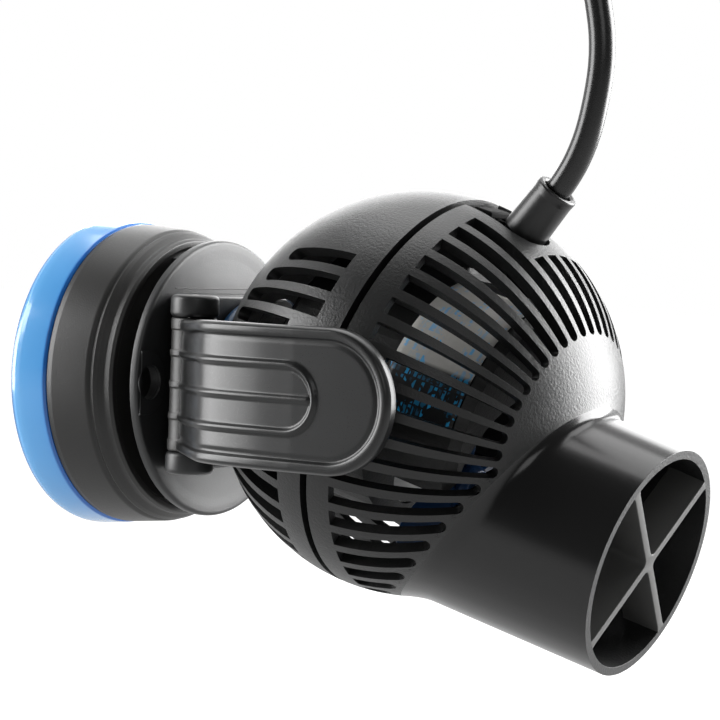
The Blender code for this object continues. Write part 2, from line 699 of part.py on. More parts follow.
def front_column(angle):
    """The points of the front casing at an angle, from the seam to the outlet's mouth."""
    first, last = front_slot_limits(angle)
    seam = math.asin(SEAM_FRONT / BALL_RADIUS)
    near_notch = from_top(nearest_slot(angle)) < NOTCH_REACH
    shoulder = math.asin(NOTCH_END / BALL_RADIUS) if near_notch else (seam + first) / 2
    latitudes = [seam, shoulder]
    latitudes += [first + (last - first) * step / SLOT_ROWS for step in range(SLOT_ROWS + 1)]
    points = [ball_point(latitude, angle) for latitude in latitudes]
    fillet = latitude_of_radius(radius_round_tube(angle, FILLET_RADIUS))
    edge = ball_point(fillet, angle)
    points.append(edge)
    centre = Vector((0.0, 0.0, -TUBE_OFFSET))
    outward = Vector((0.0, edge.y, edge.z)) - centre
    outward.normalize()
    rise = 3.0 * MM
    middle = centre + outward * (TUBE_RADIUS + 0.45 * MM)
    points.append(Vector((edge.x + rise * 0.4, middle.y, middle.z)))
    wall = centre + outward * TUBE_RADIUS
    for along in (edge.x + rise, TUBE_MOUTH):
        points.append(Vector((along, wall.y, wall.z)))
    return points


def front_cell_is_open(column, row):
    """Whether a cell of the front casing is part of a slot or of the gland's notch."""
    middle = column_middle(column)
    if row == 0:
        return from_top(middle) < math.radians(7)
    if row not in range(2, 2 + SLOT_ROWS) or column % 2:
        return False
    first, last = front_slot_limits(middle)
    return last - first > math.radians(7)


def rear_slot_limits(angle):
    """The latitudes of the rear slots' two ends at an angle, both behind the seam."""
    top = math.degrees(from_top(angle))
    start = REAR_SLOT_START
    if abs(math.degrees(from_top(nearest_slot(angle))) - 90) < 16:
        start = POLE_SLOT_START
    reach = min(max(32.5 + (top - 52) * 0.9, 32.5), 48.0)
    return -math.asin(start / BALL_RADIUS), -math.radians(reach)


def rear_column(angle):
    """The points of the rear casing at an angle, from the rear cap to the seam."""
    first, last = rear_slot_limits(angle)
    latitudes = [-latitude_of_radius(REAR_CAP_RADIUS), math.radians(-64)]
    latitudes += [last + (first - last) * step / SLOT_ROWS for step in range(SLOT_ROWS + 1)]
    latitudes += [math.asin(SEAM_REAR / BALL_RADIUS)]
    return [ball_point(latitude, angle) for latitude in latitudes]


def rear_cell_is_open(column, row):
    """Whether a cell of the rear casing is part of a slot."""
    if row not in range(2, 2 + SLOT_ROWS) or column % 2:
        return False
    return math.degrees(from_top(column_middle(column))) > 48


def column_middle(column):
    """The angle in the middle of a column of cells; even columns are the slots."""
    columns = slot_columns()
    after = columns[(column + 1) % len(columns)]
    if column == len(columns) - 1:
        after += 2 * math.pi
    return (columns[column] + after) / 2


def make_casing(name, material, axis, column_points, cell_is_open):
    """A casing as a lofted surface with open slots, thickened inwards."""
    bm = bmesh.new()
    grid = [[bm.verts.new(point) for point in column_points(angle)] for angle in slot_columns()]
    for column, points in enumerate(grid):
        following = grid[(column + 1) % len(grid)]
        for row in range(len(points) - 1):
            if cell_is_open(column, row):
                continue
            bm.faces.new((points[row], points[row + 1], following[row + 1], following[row]))
    loose = [vert for vert in bm.verts if not vert.link_faces]
    bmesh.ops.delete(bm, geom=loose, context="VERTS")
    bmesh.ops.recalc_face_normals(bm, faces=bm.faces)
    probe = bm.faces[:][0]
    if probe.normal.dot(probe.calc_center_median()) < 0:
        bmesh.ops.reverse_faces(bm, faces=bm.faces)
    casing = add_object(name, mesh_from(bm, name, 35), material, axis)
    wall = casing.modifiers.new("Wall", "SOLIDIFY")
    wall.thickness = BALL_WALL
    wall.offset = -1.0
    wall.use_even_offset = True
    return casing


def make_rear_cap(black, axis):
    """The round cap over the motor's rear mounting hole."""
    radius = REAR_CAP_RADIUS - 0.9 * MM
    back = -math.sqrt(BALL_RADIUS ** 2 - REAR_CAP_RADIUS ** 2)
    profile = [(0.0, back + 2.4 * MM), (radius, back + 2.4 * MM), (radius, back + 0.2 * MM),
               (radius - 2 * MM, back - 0.4 * MM), (0.0, back - 0.7 * MM)]
    turned("rear_cap", profile, black, axis, segments=36)


def make_joint_ring(black, axis):
    """The spigot ring inside the seam that centres the two casings."""
    inner = 40.0 * MM
    outer = 42.0 * MM
    profile = [(inner, 4.6 * MM), (outer, 4.6 * MM), (outer, -3.4 * MM), (inner, -3.4 * MM)]
    turned("joint_ring", profile, black, axis, segments=45)


def make_casing_latch(black, axis):
    """The catch under the gland's notch that locks the casings together."""
    low = (2.2 * MM, -4.4 * MM, 42.4 * MM)
    high = (6.8 * MM, 4.4 * MM, 44.0 * MM)
    latch = add_object("casing_latch", box_mesh("casing_latch", low, high), black, axis)
    add_bevel(latch, 0.4 * MM, 1)


def make_outlet_cross(black, axis):
    """The crossed vanes across the outlet's mouth."""
    reach = TUBE_RADIUS - BALL_WALL - GAP
    half = VANE_THICKNESS / 2
    place = (TUBE_MOUTH - 0.4 * MM - VANE_DEPTH, 0, -TUBE_OFFSET)
    first = box_mesh("outlet_cross", (0, -half, -reach), (VANE_DEPTH, half, reach))
    cross = add_object("outlet_cross", first, black, axis, place, (VANE_TURN, 0, 0))
    second = box_mesh("cross_bar", (0, -reach, -half), (VANE_DEPTH, reach, half))
    bar = add_cutter("cross_bar", second, axis, place, (VANE_TURN, 0, 0))
    add_boolean(cross, bar, "UNION")


def make_motor(black, copper, dark_steel, paper, bronze, axis):
    """The motor can round the propeller's chamber, with the stator, label and bearings."""
    bore = ROTOR_RADIUS + 1.0 * MM
    profile = [(0.0, CAN_FRONT), (CAN_RADIUS - 2 * MM, CAN_FRONT), (CAN_RADIUS, CAN_FRONT - 2 * MM),
               (CAN_RADIUS, CAN_REAR + 2 * MM), (CAN_RADIUS - 2 * MM, CAN_REAR), (0.0, CAN_REAR)]
    can = turned("motor_can", profile, black, axis, segments=48)
    chamber = cylinder_mesh("chamber", CHAMBER_RADIUS, CHAMBER_REAR, CAN_FRONT + 10 * MM, "X",
                            (0, -TUBE_OFFSET), 48)
    add_boolean(can, add_cutter("chamber", chamber, axis))
    well = cylinder_mesh("rotor_well", bore, CAN_REAR + 3 * MM, CHAMBER_REAR + 1 * MM, "X",
                         (0, -TUBE_OFFSET), 32)
    add_boolean(can, add_cutter("rotor_well", well, axis))
    pocket = cylinder_mesh("stator_room", 25.0 * MM, CAN_REAR - 1 * MM, -1.6 * MM, "X", (0, 0), 48)
    keep = cylinder_mesh("well_wall", bore + 1.2 * MM, CAN_REAR - 2 * MM, CHAMBER_REAR, "X",
                         (0, -TUBE_OFFSET), 32)
    room = add_cutter("stator_room", pocket, axis)
    add_boolean(room, add_cutter("well_wall", keep, axis))
    add_boolean(can, room)

    lid = [(0.0, CAN_REAR - GAP), (24.0 * MM, CAN_REAR - GAP), (24.0 * MM, CAN_REAR - 1.6 * MM),
           (22.5 * MM, CAN_REAR - 2.6 * MM), (0.0, CAN_REAR - 2.6 * MM)]
    turned("motor_lid", lid, black, axis, segments=40)

    core = cylinder_mesh("stator_core", 24.4 * MM, CAN_REAR + 4 * MM, -6 * MM, "X", (0, 0), 40)
    stator = add_object("stator_core", core, dark_steel, axis)
    hollow = cylinder_mesh("stator_bore", bore + 1.6 * MM, CAN_REAR - 2 * MM, 0.0, "X",
                           (0, -TUBE_OFFSET), 32)
    add_boolean(stator, add_cutter("stator_bore", hollow, axis))
    winding = box_mesh("stator_winding", (-5.6 * MM, -14 * MM, 2 * MM), (-2.0 * MM, 14 * MM, 18 * MM))
    coil = add_object("stator_winding", winding, copper, axis)
    add_bevel(coil, 1.2 * MM, 2)

    for name, near, far in (("rear_bearing", -20.6, -17.6), ("front_bearing", 0.4, 3.4)):
        ring = [(SHAFT_RADIUS + GAP, far * MM), (bore - GAP, far * MM), (bore - GAP, near * MM),
                (SHAFT_RADIUS + GAP, near * MM)]
        turned(name, ring, bronze, axis, (0, 0, -TUBE_OFFSET), segments=24)
    make_motor_label(paper, axis)


def make_motor_label(paper, axis):
    """The printed sheet wrapped round the upper near side of the can."""
    bm = bmesh.new()
    radius = CAN_RADIUS + GAP + 0.35 * MM
    rows = []
    for step in range(13):
        angle = math.radians(14 + 76 * step / 12)
        ring = (-radius * math.sin(angle), radius * math.cos(angle))
        rows.append([bm.verts.new((x * MM, *ring)) for x in (5.5, 12.0, 18.5, 25.0)])
    for lower, upper in zip(rows, rows[1:]):
        for i in range(3):
            bm.faces.new((lower[i], lower[i + 1], upper[i + 1], upper[i]))
    bmesh.ops.recalc_face_normals(bm, faces=bm.faces)
    probe = bm.faces[:][0]
    centre = probe.calc_center_median()
    if probe.normal.dot(Vector((0, centre.y, centre.z))) < 0:
        bmesh.ops.reverse_faces(bm, faces=bm.faces)
    label = add_object("motor_label", mesh_from(bm, "motor_label", 60), paper, axis)
    wall = label.modifiers.new("Wall", "SOLIDIFY")
    wall.thickness = 0.35 * MM
    wall.offset = -1.0


def make_rotor(magnet, ceramic, blue, axis):
    """The rotor magnet, shaft, propeller and its end cap, all on the outlet's axis."""
    shaft = [(0.0, 21.0 * MM), (SHAFT_RADIUS, 20.4 * MM), (SHAFT_RADIUS, -20.4 * MM),
             (0.0, -20.8 * MM)]
    turned("rotor_shaft", shaft, ceramic, axis, segments=20)
    bore = SHAFT_RADIUS + 0.2 * MM
    body = [(bore, -0.4 * MM), (ROTOR_RADIUS, -0.4 * MM), (ROTOR_RADIUS, -17.0 * MM),
            (bore, -17.0 * MM)]
    turned("rotor_magnet", body, magnet, axis, segments=24)
    make_propeller(blue, axis, bore)
    cap = [(0.0, 25.2 * MM), (2.4 * MM, 24.4 * MM), (3.6 * MM, 22.6 * MM), (3.8 * MM, 21.3 * MM),
           (0.0, 21.3 * MM)]
    turned("propeller_cap", cap, blue, axis, segments=24)


def make_propeller(blue, axis, bore):
    """The hub and its twisted blades."""
    hub = [(bore, 20.0 * MM), (4.6 * MM, 20.0 * MM), (5.4 * MM, 18.6 * MM), (5.4 * MM, 9.0 * MM),
           (bore, 9.0 * MM)]
    propeller = turned("propeller", hub, blue, axis, segments=30)
    for index in range(BLADE_COUNT):
        name = f"blade_{index + 1}"
        blade = add_cutter(name, blade_mesh(name), axis)
        blade.rotation_euler = (2 * math.pi * index / BLADE_COUNT, 0, 0)
        wall = blade.modifiers.new("Wall", "SOLIDIFY")
        wall.thickness = 1.2 * MM
        wall.offset = 0.0
        add_boolean(propeller, blade, "UNION")


def blade_mesh(name):
    """A blade whose pitch falls off from the hub to the tip."""
    bm = bmesh.new()
    rows = []
    steps = 4
    for step in range(steps + 1):
        share = step / steps
        radius = 4.4 * MM + (BLADE_RADIUS - 4.4 * MM) * share
        pitch = math.radians(52 - 26 * share)
        chord = (7.0 + 5.0 * math.sin(math.pi * share * 0.8)) * MM
        row = []
        for side in (-0.5, 0.0, 0.5):
            along = 14.5 * MM + side * chord * math.sin(pitch)
            swing = side * chord * math.cos(pitch) / radius
            row.append(bm.verts.new((along, radius * math.sin(swing), radius * math.cos(swing))))
        rows.append(row)
    for lower, upper in zip(rows, rows[1:]):
        for i in range(2):
            bm.faces.new((lower[i], lower[i + 1], upper[i + 1], upper[i]))
    return mesh_from(bm, name, 60)


def make_gland(rubber, axis):
    """The rubber sleeve that the cord leaves the ball through, with a rolled lip."""
    bore = CORD_RADIUS + GAP
    neck = GLAND_RADIUS - 0.55 * MM
    lip = GLAND_LENGTH
    profile = [(bore, lip - 2.4 * MM), (GLAND_RADIUS - 1.3 * MM, lip - 2.0 * MM)]
    profile += arc((GLAND_RADIUS - 0.7 * MM, lip - 0.6 * MM), 0.6 * MM, 170, 0, 4)
    profile += [(GLAND_RADIUS + 0.15 * MM, 0.8 * MM), (neck, -0.4 * MM), (neck, -4.0 * MM),
                (bore, -4.0 * MM)]
    turned("cable_gland", profile, rubber, axis, GLAND_BASE, (0.0, GLAND_LEAN, 0.0), segments=18)


def cord_route():
    """The free cord's centreline from the gland to the coil."""
    return evenly_spaced(smooth_route([Vector(point) * MM for point in CORD_ROUTE_MM], 6), CORD_STEP)


def coil_frame():
    """Place something beside the coil: X along its axis, Y away from the ball, Z up."""
    return Matrix.Translation(COIL_CENTRE) @ Matrix.Rotation(COIL_HEADING, 4, "Z")


def world_child(name, data, material):
    """A cord piece drawn in world coordinates that still moves with the ball."""
    made = bpy.data.objects.new(name, data)
    made.data.materials.append(material)
    PIECES.objects.link(made)
    return made


def attach(piece, axis):
    """Parent a piece to an axis without moving it."""
    bpy.context.view_layer.update()
    piece.parent = axis
    piece.matrix_parent_inverse = axis.matrix_world.inverted()


def make_cord(rubber, axis):
    """The free cord up to the coil, the coil, and the tail that runs on to the plug."""
    attach(world_child("power_cord", tube_curve("power_cord", cord_route(), CORD_RADIUS), rubber),
           axis)
    diameter = 2 * CORD_RADIUS
    inner = COIL_INNER_TURN - CORD_RADIUS - COIL_MARGIN
    outer = COIL_INNER_TURN + diameter * (COIL_TURNS_ACROSS - 0.5) + COIL_MARGIN
    half = diameter * COIL_TURNS_ACROSS / 2 + COIL_MARGIN
    ring = [(inner, half), (outer, half), (outer, -half), (inner, -half)]
    coil = world_child("cord_coil", profile_mesh("cord_coil", ring, True), rubber)
    coil.matrix_world = coil_frame() @ Matrix.Rotation(math.pi / 2, 4, "Y")
    add_screw(coil, 40)
    attach(coil, axis)

    layer = half + GAP + CORD_RADIUS
    tail = []
    for step in range(11):
        share = step / 10
        angle = math.radians(150 + 120 * share)
        ease = share * share * (3 - 2 * share)
        across = layer + (plug_layer() - layer) * ease
        tail.append(Vector((across, TAIL_RADIUS * math.cos(angle), TAIL_RADIUS * math.sin(angle))))
    tail.append(Vector((plug_layer(), 7 * MM, -TAIL_RADIUS)))
    placed = [coil_frame() @ point for point in tail]
    attach(world_child("cord_tail", tube_curve("cord_tail", placed, CORD_RADIUS), rubber), axis)
    make_tie(rubber, axis, inner, outer, half)


def plug_layer():
    """How far beside the coil's middle the plug and the cord into it lie."""
    return CORD_RADIUS * COIL_TURNS_ACROSS + COIL_MARGIN + 2 * GAP + PLUG_RADIUS


def make_tie(strap, axis, inner, outer, half):
    """The strap round the coil's highest part."""
    width = 12 * MM
    room = 0.5 * MM
    low = (-half - room, -width / 2, inner - 1.3 * MM)
    high = (half + room, width / 2, outer + room)
    bm = bmesh.new()
    size = [high[i] - low[i] for i in range(3)]
    centre = [(high[i] + low[i]) / 2 for i in range(3)]
    place = Matrix.Translation(centre) @ Matrix.Diagonal((*size, 1.0))
    bmesh.ops.create_cube(bm, size=1.0, matrix=place)
    ends = [face for face in bm.faces if abs(face.normal.y) > 0.9]
    bmesh.ops.delete(bm, geom=ends, context="FACES")
    tie = world_child("cord_tie", mesh_from(bm, "cord_tie"), strap)
    tie.matrix_world = coil_frame()
    wall = tie.modifiers.new("Wall", "SOLIDIFY")
    wall.thickness = 1.2 * MM
    wall.offset = 1.0
    wall.use_even_offset = True
    attach(tie, axis)


def plug_turned(name, profile, material, axis, segments, aside=(0.0, 0.0)):
    """A turned piece on the plug's axis, which runs away from the ball under the coil's middle."""
    frame = coil_frame() @ Matrix.Translation((plug_layer() + aside[0], 0.0,
                                               aside[1] - TAIL_RADIUS))
    closed = profile[0][0] > 1e-9
    made = world_child(name, profile_mesh(name, profile, closed), material)
    made.matrix_world = frame @ Matrix.Rotation(-math.pi / 2, 4, "X")
    add_screw(made, segments)
    attach(made, axis)


def make_plug(rubber, nickel, axis):
    """The round low-voltage plug beside the coil: strain relief, body, shell and pins."""
    bore = CORD_RADIUS + GAP
    start = 1.0 * MM
    back = start + PLUG_RELIEF_LENGTH
    relief = [(bore, back), (5.2 * MM, back), (4.1 * MM, start), (bore, start)]
    plug_turned("plug_relief", relief, rubber, axis, 20)

    rear = back + GAP
    front = rear + PLUG_LENGTH
    body = [(0.0, front), (PLUG_RADIUS - 0.6 * MM, front), (PLUG_RADIUS, front - 1.2 * MM),
            (PLUG_RADIUS, rear + 5 * MM), (5.6 * MM, rear), (0.0, rear)]
    plug_turned("plug_body", body, rubber, axis, 24)

    root = front + GAP
    tip = root + PLUG_SHELL_LENGTH
    inner = PLUG_SHELL_RADIUS - 0.7 * MM
    floor = root + 2.0 * MM
    shell = [(0.0, floor), (inner, floor), (inner, tip), (PLUG_SHELL_RADIUS, tip),
             (PLUG_SHELL_RADIUS, root), (0.0, root)]
    plug_turned("plug_shell", shell, nickel, axis, 24)
    pin = [(0.0, tip - 1.0 * MM), (0.55 * MM, tip - 1.4 * MM), (0.55 * MM, floor + GAP),
           (0.0, floor + GAP)]
    for index in range(PLUG_PIN_COUNT):
        angle = 2 * math.pi * index / PLUG_PIN_COUNT
        aside = (PLUG_PIN_RING * math.cos(angle), PLUG_PIN_RING * math.sin(angle))
        plug_turned(f"plug_pin_{index + 1}", pin, nickel, axis, 8, aside)


reset_scene()
PIECES = new_collection("wave_maker_pump")
CUTTERS = new_collection("cutters")

SATIN_BLACK = new_material("satin_black_plastic", (0.035, 0.037, 0.04), 0.42)
GLOSS_BLACK = new_material("gloss_black_plastic", (0.02, 0.021, 0.023), 0.2)
MATT_GREY = new_material("matt_grey_plastic", (0.06, 0.062, 0.065), 0.5)
BLUE_PAD = new_material("blue_pad", (0.01, 0.28, 0.62), 0.15)
BLUE_SOFT = new_material("blue_silicone", (0.01, 0.22, 0.45), 0.4)
RUBBER = new_material("black_rubber", (0.03, 0.03, 0.032), 0.45)
STEEL = new_material("stainless_steel", (0.55, 0.56, 0.57), 0.3, 1.0)
FERRITE = new_material("ferrite", (0.07, 0.07, 0.075), 0.6)
LAMINATION = new_material("lamination_steel", (0.2, 0.2, 0.21), 0.5, 0.8)
COPPER = new_material("copper_winding", (0.6, 0.25, 0.1), 0.35, 0.9)
PAPER = new_material("label_paper", (0.72, 0.74, 0.76), 0.5)
CERAMIC = new_material("ceramic", (0.8, 0.8, 0.78), 0.25)
BRASS = new_material("nickel_pin", (0.6, 0.58, 0.52), 0.25, 1.0)

make_glass_pad(BLUE_PAD)
make_magnet_housing(SATIN_BLACK)
make_magnet_stack(FERRITE, STEEL)
make_stud(STEEL)

HOLDER_AXIS = new_empty("holder_axis", (0, 0, 0), collection=PIECES)
make_holder_plate(MATT_GREY, HOLDER_AXIS)
make_plate_screws(STEEL, HOLDER_AXIS)
make_clamp_base(MATT_GREY, HOLDER_AXIS)
make_buffer_ring(BLUE_SOFT, HOLDER_AXIS)
make_hinge_pins(STEEL, HOLDER_AXIS)
for arm_side in (-1, 1):
    arm_axis = new_empty(f"arm_axis_{side_name(arm_side)}", (HINGE_X, arm_side * HINGE_Y, 0),
                         HOLDER_AXIS, collection=PIECES)
    make_clamp_arm(GLOSS_BLACK, RUBBER, arm_axis, arm_side)

BALL_AXIS = new_empty("ball_axis", (BALL_X, 0, 0), HOLDER_AXIS, OUTLET_DROP, PIECES)
make_casing("front_casing", SATIN_BLACK, BALL_AXIS, front_column, front_cell_is_open)
make_casing("rear_casing", SATIN_BLACK, BALL_AXIS, rear_column, rear_cell_is_open)
make_rear_cap(SATIN_BLACK, BALL_AXIS)
make_joint_ring(SATIN_BLACK, BALL_AXIS)
make_casing_latch(SATIN_BLACK, BALL_AXIS)
make_outlet_cross(GLOSS_BLACK, BALL_AXIS)
make_motor(SATIN_BLACK, COPPER, LAMINATION, PAPER, CERAMIC, BALL_AXIS)
make_gland(RUBBER, BALL_AXIS)
make_cord(RUBBER, BALL_AXIS)
make_plug(RUBBER, BRASS, BALL_AXIS)

ROTOR_AXIS = new_empty("rotor_axis", (0, 0, -TUBE_OFFSET), BALL_AXIS, collection=PIECES)
make_rotor(FERRITE, CERAMIC, BLUE_SOFT, ROTOR_AXIS)
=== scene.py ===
"""Looks for the wave maker pump: fine meshes, procedural materials, studio and camera.

Lengths are in metres, in the model's own frame: +X away from the glass, +Z up, near side -Y.
"""
import json
import math

import bmesh
import bpy
from mathutils import Matrix, Vector


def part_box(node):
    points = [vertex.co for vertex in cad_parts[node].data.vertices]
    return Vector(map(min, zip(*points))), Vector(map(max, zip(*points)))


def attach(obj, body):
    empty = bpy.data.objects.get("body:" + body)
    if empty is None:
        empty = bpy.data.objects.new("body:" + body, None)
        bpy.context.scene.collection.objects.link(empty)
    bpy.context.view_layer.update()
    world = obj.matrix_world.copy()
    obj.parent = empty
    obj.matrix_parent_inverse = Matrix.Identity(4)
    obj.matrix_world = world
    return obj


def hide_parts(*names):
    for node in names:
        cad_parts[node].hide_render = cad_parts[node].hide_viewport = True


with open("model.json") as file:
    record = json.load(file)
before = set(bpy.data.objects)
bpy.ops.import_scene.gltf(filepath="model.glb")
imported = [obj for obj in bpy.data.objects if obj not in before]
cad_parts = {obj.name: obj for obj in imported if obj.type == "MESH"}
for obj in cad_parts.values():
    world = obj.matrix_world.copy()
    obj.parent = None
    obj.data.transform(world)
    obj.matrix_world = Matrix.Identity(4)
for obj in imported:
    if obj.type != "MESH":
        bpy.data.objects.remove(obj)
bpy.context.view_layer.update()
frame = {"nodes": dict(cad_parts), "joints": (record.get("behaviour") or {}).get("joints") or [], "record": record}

MM = 0.001
SMOOTH_ANGLE = 38.0                   # degrees; edges that turn more than this are sharp
JOINTS = {joint["name"]: joint for joint in frame["joints"]}
BALL_CENTRE = Vector(JOINTS["ball_tilt"]["pos_m"])
OUTLET_AXIS = Vector(JOINTS["rotor_spin"]["axis"])
OUTLET_DROP = math.atan2(-OUTLET_AXIS.z, OUTLET_AXIS.x)
BALL_FRAME = Matrix.Translation(BALL_CENTRE) @ Matrix.Rotation(OUTLET_DROP, 4, "Y")
ROTOR_FRAME = (Matrix.Translation(JOINTS["rotor_spin"]["pos_m"])
               @ Matrix.Rotation(OUTLET_DROP, 4, "Y"))
HINGE_X = JOINTS["jaw_far_open"]["pos_m"][0]
HINGE_Y = JOINTS["jaw_far_open"]["pos_m"][1]

# Photograph's view
VIEW_TARGET = Vector((71.16 * MM, 0.0, 6.5 * MM))
VIEW_AZIMUTH = math.radians(32.15)
VIEW_ELEVATION = math.radians(2.49)
VIEW_ROLL = math.radians(2.22)
VIEW_DISTANCE = 549.21 * MM
VIEW_LENS = 121.66                    # millimetres on a 36 mm sensor

# Mount and holder
HOLE_CENTRE = (-27.7 * MM, -0.2 * MM)  # (y, z)
HOLE_RADIUS = 4.05 * MM
KNUCKLE_RADIUS = 5.4 * MM
KNUCKLE_HEIGHT = 5.0 * MM
KNUCKLE_LEVEL = 17.4 * MM

# Jaws
SIDE_NAMES = {-1: "near", 1: "far"}
ARM_HALF_WIDTH = 15.2 * MM
ARM_BARREL_HALF = 14.6 * MM
ARM_WALL = 2.8 * MM
ARM_OUTER_Y = 49.2 * MM
ARM_TIP_X = 109.4 * MM
ARM_ROUND_X = ARM_TIP_X - ARM_HALF_WIDTH
ARM_BEND = 53.8 * MM
ARM_LEVELS = 112
RIB_RADIUS = 7.0 * MM
RIB_END = 84.0 * MM                   # centre of the long rib's round end
GRIP_DISH_MM = 45.4                   # the grip pads' hollow face, just clear of the ball

# Ball
BALL_RADIUS = 45.0 * MM
BALL_WALL = 2.6 * MM
TUBE_WALL = 1.9 * MM
SLOT_COUNT = 45
SLOT_PITCH = 2 * math.pi / SLOT_COUNT
SLOT_TURN = math.radians(2.55)
SLOT_HALF_ANGLE = math.radians(2.6)
SEAM_FRONT = 2.2 * MM
SEAM_REAR = 0.5 * MM
FRONT_SLOT_START = 7.5 * MM
FRONT_SLOT_END_LATITUDE = math.radians(54.6)
NOTCH_MIDDLE = math.radians(1.25)
NOTCH_HALF_ANGLE = math.radians(9.3)
NOTCH_REACH = math.radians(16.0)      # slots this near the top start below the gland's notch
NOTCH_BORDER = 1.001                  # columns up to here, in half widths, end on the notch
NOTCH_LAST_CELL = 0.99                # cells that begin before this are open
NOTCH_END = 19.6 * MM
NOTCH_ROUND = math.radians(7.0)       # depth of the notch's round end
NOTCH_SLOT_START = 22.1 * MM
POLE_REACH = math.radians(16.0)       # slots this near a jaw's pad start further from the seam
POLE_SLOT_START = 12.5 * MM
REAR_SLOT_START = 5.8 * MM
REAR_SLOT_TOP = math.radians(48.0)    # the rear casing has no slots nearer the top than this
REAR_REACH_LEAST = 32.5               # degrees from the seam that the shortest ones reach
REAR_REACH_MOST = 48.0
REAR_CAP_RADIUS = 9.0 * MM
TUBE_OFFSET = 15.7 * MM
TUBE_RADIUS = 25.3 * MM
TUBE_FLARE = 0.6 * MM                 # wider at its root
TUBE_MOUTH = 63.9 * MM
FILLET_RADIUS = 27.6 * MM
SLOT_KEEP_OUT = 28.4 * MM
ROUND_STEPS = (0, 30, 55, 75)         # degrees round a slot's round end
FRONT_ROWS = 30
REAR_ROWS = 30
RIM_ROWS = 6                          # rows between the slots' ends and the fillet
TUBE_ROWS = 6                         # rows of the fillet, and of the tube after it
SHORTEST_SLOT = math.radians(7)
LABEL_RADIUS = 28.6 * MM
LABEL_TOP = math.radians(13)
LABEL_SPAN = math.radians(76)
BLADE_COUNT = 5

# Cord
CORD_RADIUS = 2.9 * MM
COIL_HEADING = math.radians(32.0)
COIL_INNER_TURN = 24.0 * MM
TAIL_RADIUS = 26.0 * MM
PLUG_RADIUS = 7.0 * MM
COIL_HALF = 8.9 * MM
GAP = 0.3 * MM
GLAND_PLACE = (13.9 * MM, 0.0, 42.3 * MM)
GLAND_LEAN = math.radians(24.0)

# Route of the free cord from the gland to the coil, in millimetres
CORD_ROUTE_MM = [
    (112.4, 0.0, 37.0), (116.1, 0.0, 41.4), (119.2, 0.0, 45.1), (121.6, 0.0, 48.3),
    (124.0, 0.0, 52.4), (126.2, 0.0, 58.0), (127.8, 0.0, 65.0), (128.7, 0.0, 72.2),
    (128.5, 0.0, 79.0), (127.3, 0.0, 85.6), (125.8, 0.1, 92.0), (124.3, 2.2, 104.0),
    (121.1, 8.8, 116.4), (116.0, 18.7, 125.4), (110.2, 30.2, 129.2), (104.4, 41.7, 127.6),
    (99.2, 51.6, 121.0), (95.8, 58.2, 110.8), (94.8, 60.2, 100.6), (96.6, 60.4, 92.8),
    (98.0, 60.4, 85.3), (98.2, 60.4, 77.6), (97.2, 60.4, 69.5), (95.4, 60.4, 61.6),
    (92.9, 60.4, 55.3), (90.2, 60.4, 50.6), (87.5, 60.4, 47.0), (84.0, 60.4, 42.8),
    (80.4, 60.7, 38.0), (76.8, 61.3, 32.6), (73.4, 62.1, 27.0), (70.6, 62.9, 21.2),
    (68.6, 63.7, 15.2),
]

# Studio
FLOOR_LEVEL = -0.16
FLOOR_RADIUS = 9.0
LIGHT_TARGET = (0.07, 0.0, 0.0)


# ---------------------------------------------------------------- camera

def make_camera():
    """The camera at the photograph's viewing angle."""
    back = Vector((math.sin(VIEW_AZIMUTH) * math.cos(VIEW_ELEVATION),
                   -math.cos(VIEW_AZIMUTH) * math.cos(VIEW_ELEVATION),
                   math.sin(VIEW_ELEVATION)))
    right = Vector((math.cos(VIEW_AZIMUTH), math.sin(VIEW_AZIMUTH), 0.0))
    up = back.cross(right)
    across = right * math.cos(VIEW_ROLL) + up * math.sin(VIEW_ROLL)
    above = up * math.cos(VIEW_ROLL) - right * math.sin(VIEW_ROLL)
    data = bpy.data.cameras.new("camera")
    data.lens = VIEW_LENS
    data.sensor_width = 36.0
    data.clip_start = 0.01
    data.clip_end = 50.0
    camera = bpy.data.objects.new("camera", data)
    place = Matrix((across, above, back)).transposed().to_4x4()
    place.translation = VIEW_TARGET + back * VIEW_DISTANCE
    camera.matrix_world = place
    bpy.context.scene.collection.objects.link(camera)
    bpy.context.scene.camera = camera


# ---------------------------------------------------------------- materials

def new_material(name, roughness=0.4, metallic=0.0):
    """A material and its Principled node."""
    material = bpy.data.materials.new(name)
    material.use_nodes = True
    surface = material.node_tree.nodes["Principled BSDF"]
    surface.inputs["Metallic"].default_value = metallic
    surface.inputs["Roughness"].default_value = roughness
    return material, surface


def add_node(material, kind, **values):
    """A node with some of its inputs set by name."""
    node = material.node_tree.nodes.new(kind)
    for key, value in values.items():
        node.inputs[key.replace("_", " ")].default_value = value
    return node


def link(material, start, end):
    """Join an output socket to an input socket."""
    material.node_tree.links.new(start, end)


def noise(material, coordinates, scale, detail=2.0, roughness=0.5):
    """A noise texture of so many features per metre."""
    node = add_node(material, "ShaderNodeTexNoise", Scale=scale, Detail=detail,
                    Roughness=roughness)
    link(material, coordinates, node.inputs["Vector"])
    return node.outputs["Fac"]


def mapped(material, value, low, high, new_low, new_high):
    """A value carried from one range to another."""
    node = add_node(material, "ShaderNodeMapRange", From_Min=low, From_Max=high, To_Min=new_low,
                    To_Max=new_high)
    link(material, value, node.inputs["Value"])
    return node.outputs["Result"]


def mixed(material, share, first, second):
    """A colour between two, by a share from 0 to 1."""
    node = add_node(material, "ShaderNodeMix")
    node.data_type = "RGBA"
    link(material, share, node.inputs["Factor"])
    for socket, colour in ((node.inputs[6], first), (node.inputs[7], second)):
        if isinstance(colour, tuple):
            socket.default_value = (*colour, 1.0)
        else:
            link(material, colour, socket)
    return node.outputs[2]


def product(material, first, second):
    """Two values multiplied."""
    node = add_node(material, "ShaderNodeMath")
    node.operation = "MULTIPLY"
    link(material, first, node.inputs[0])
    link(material, second, node.inputs[1])
    return node.outputs[0]


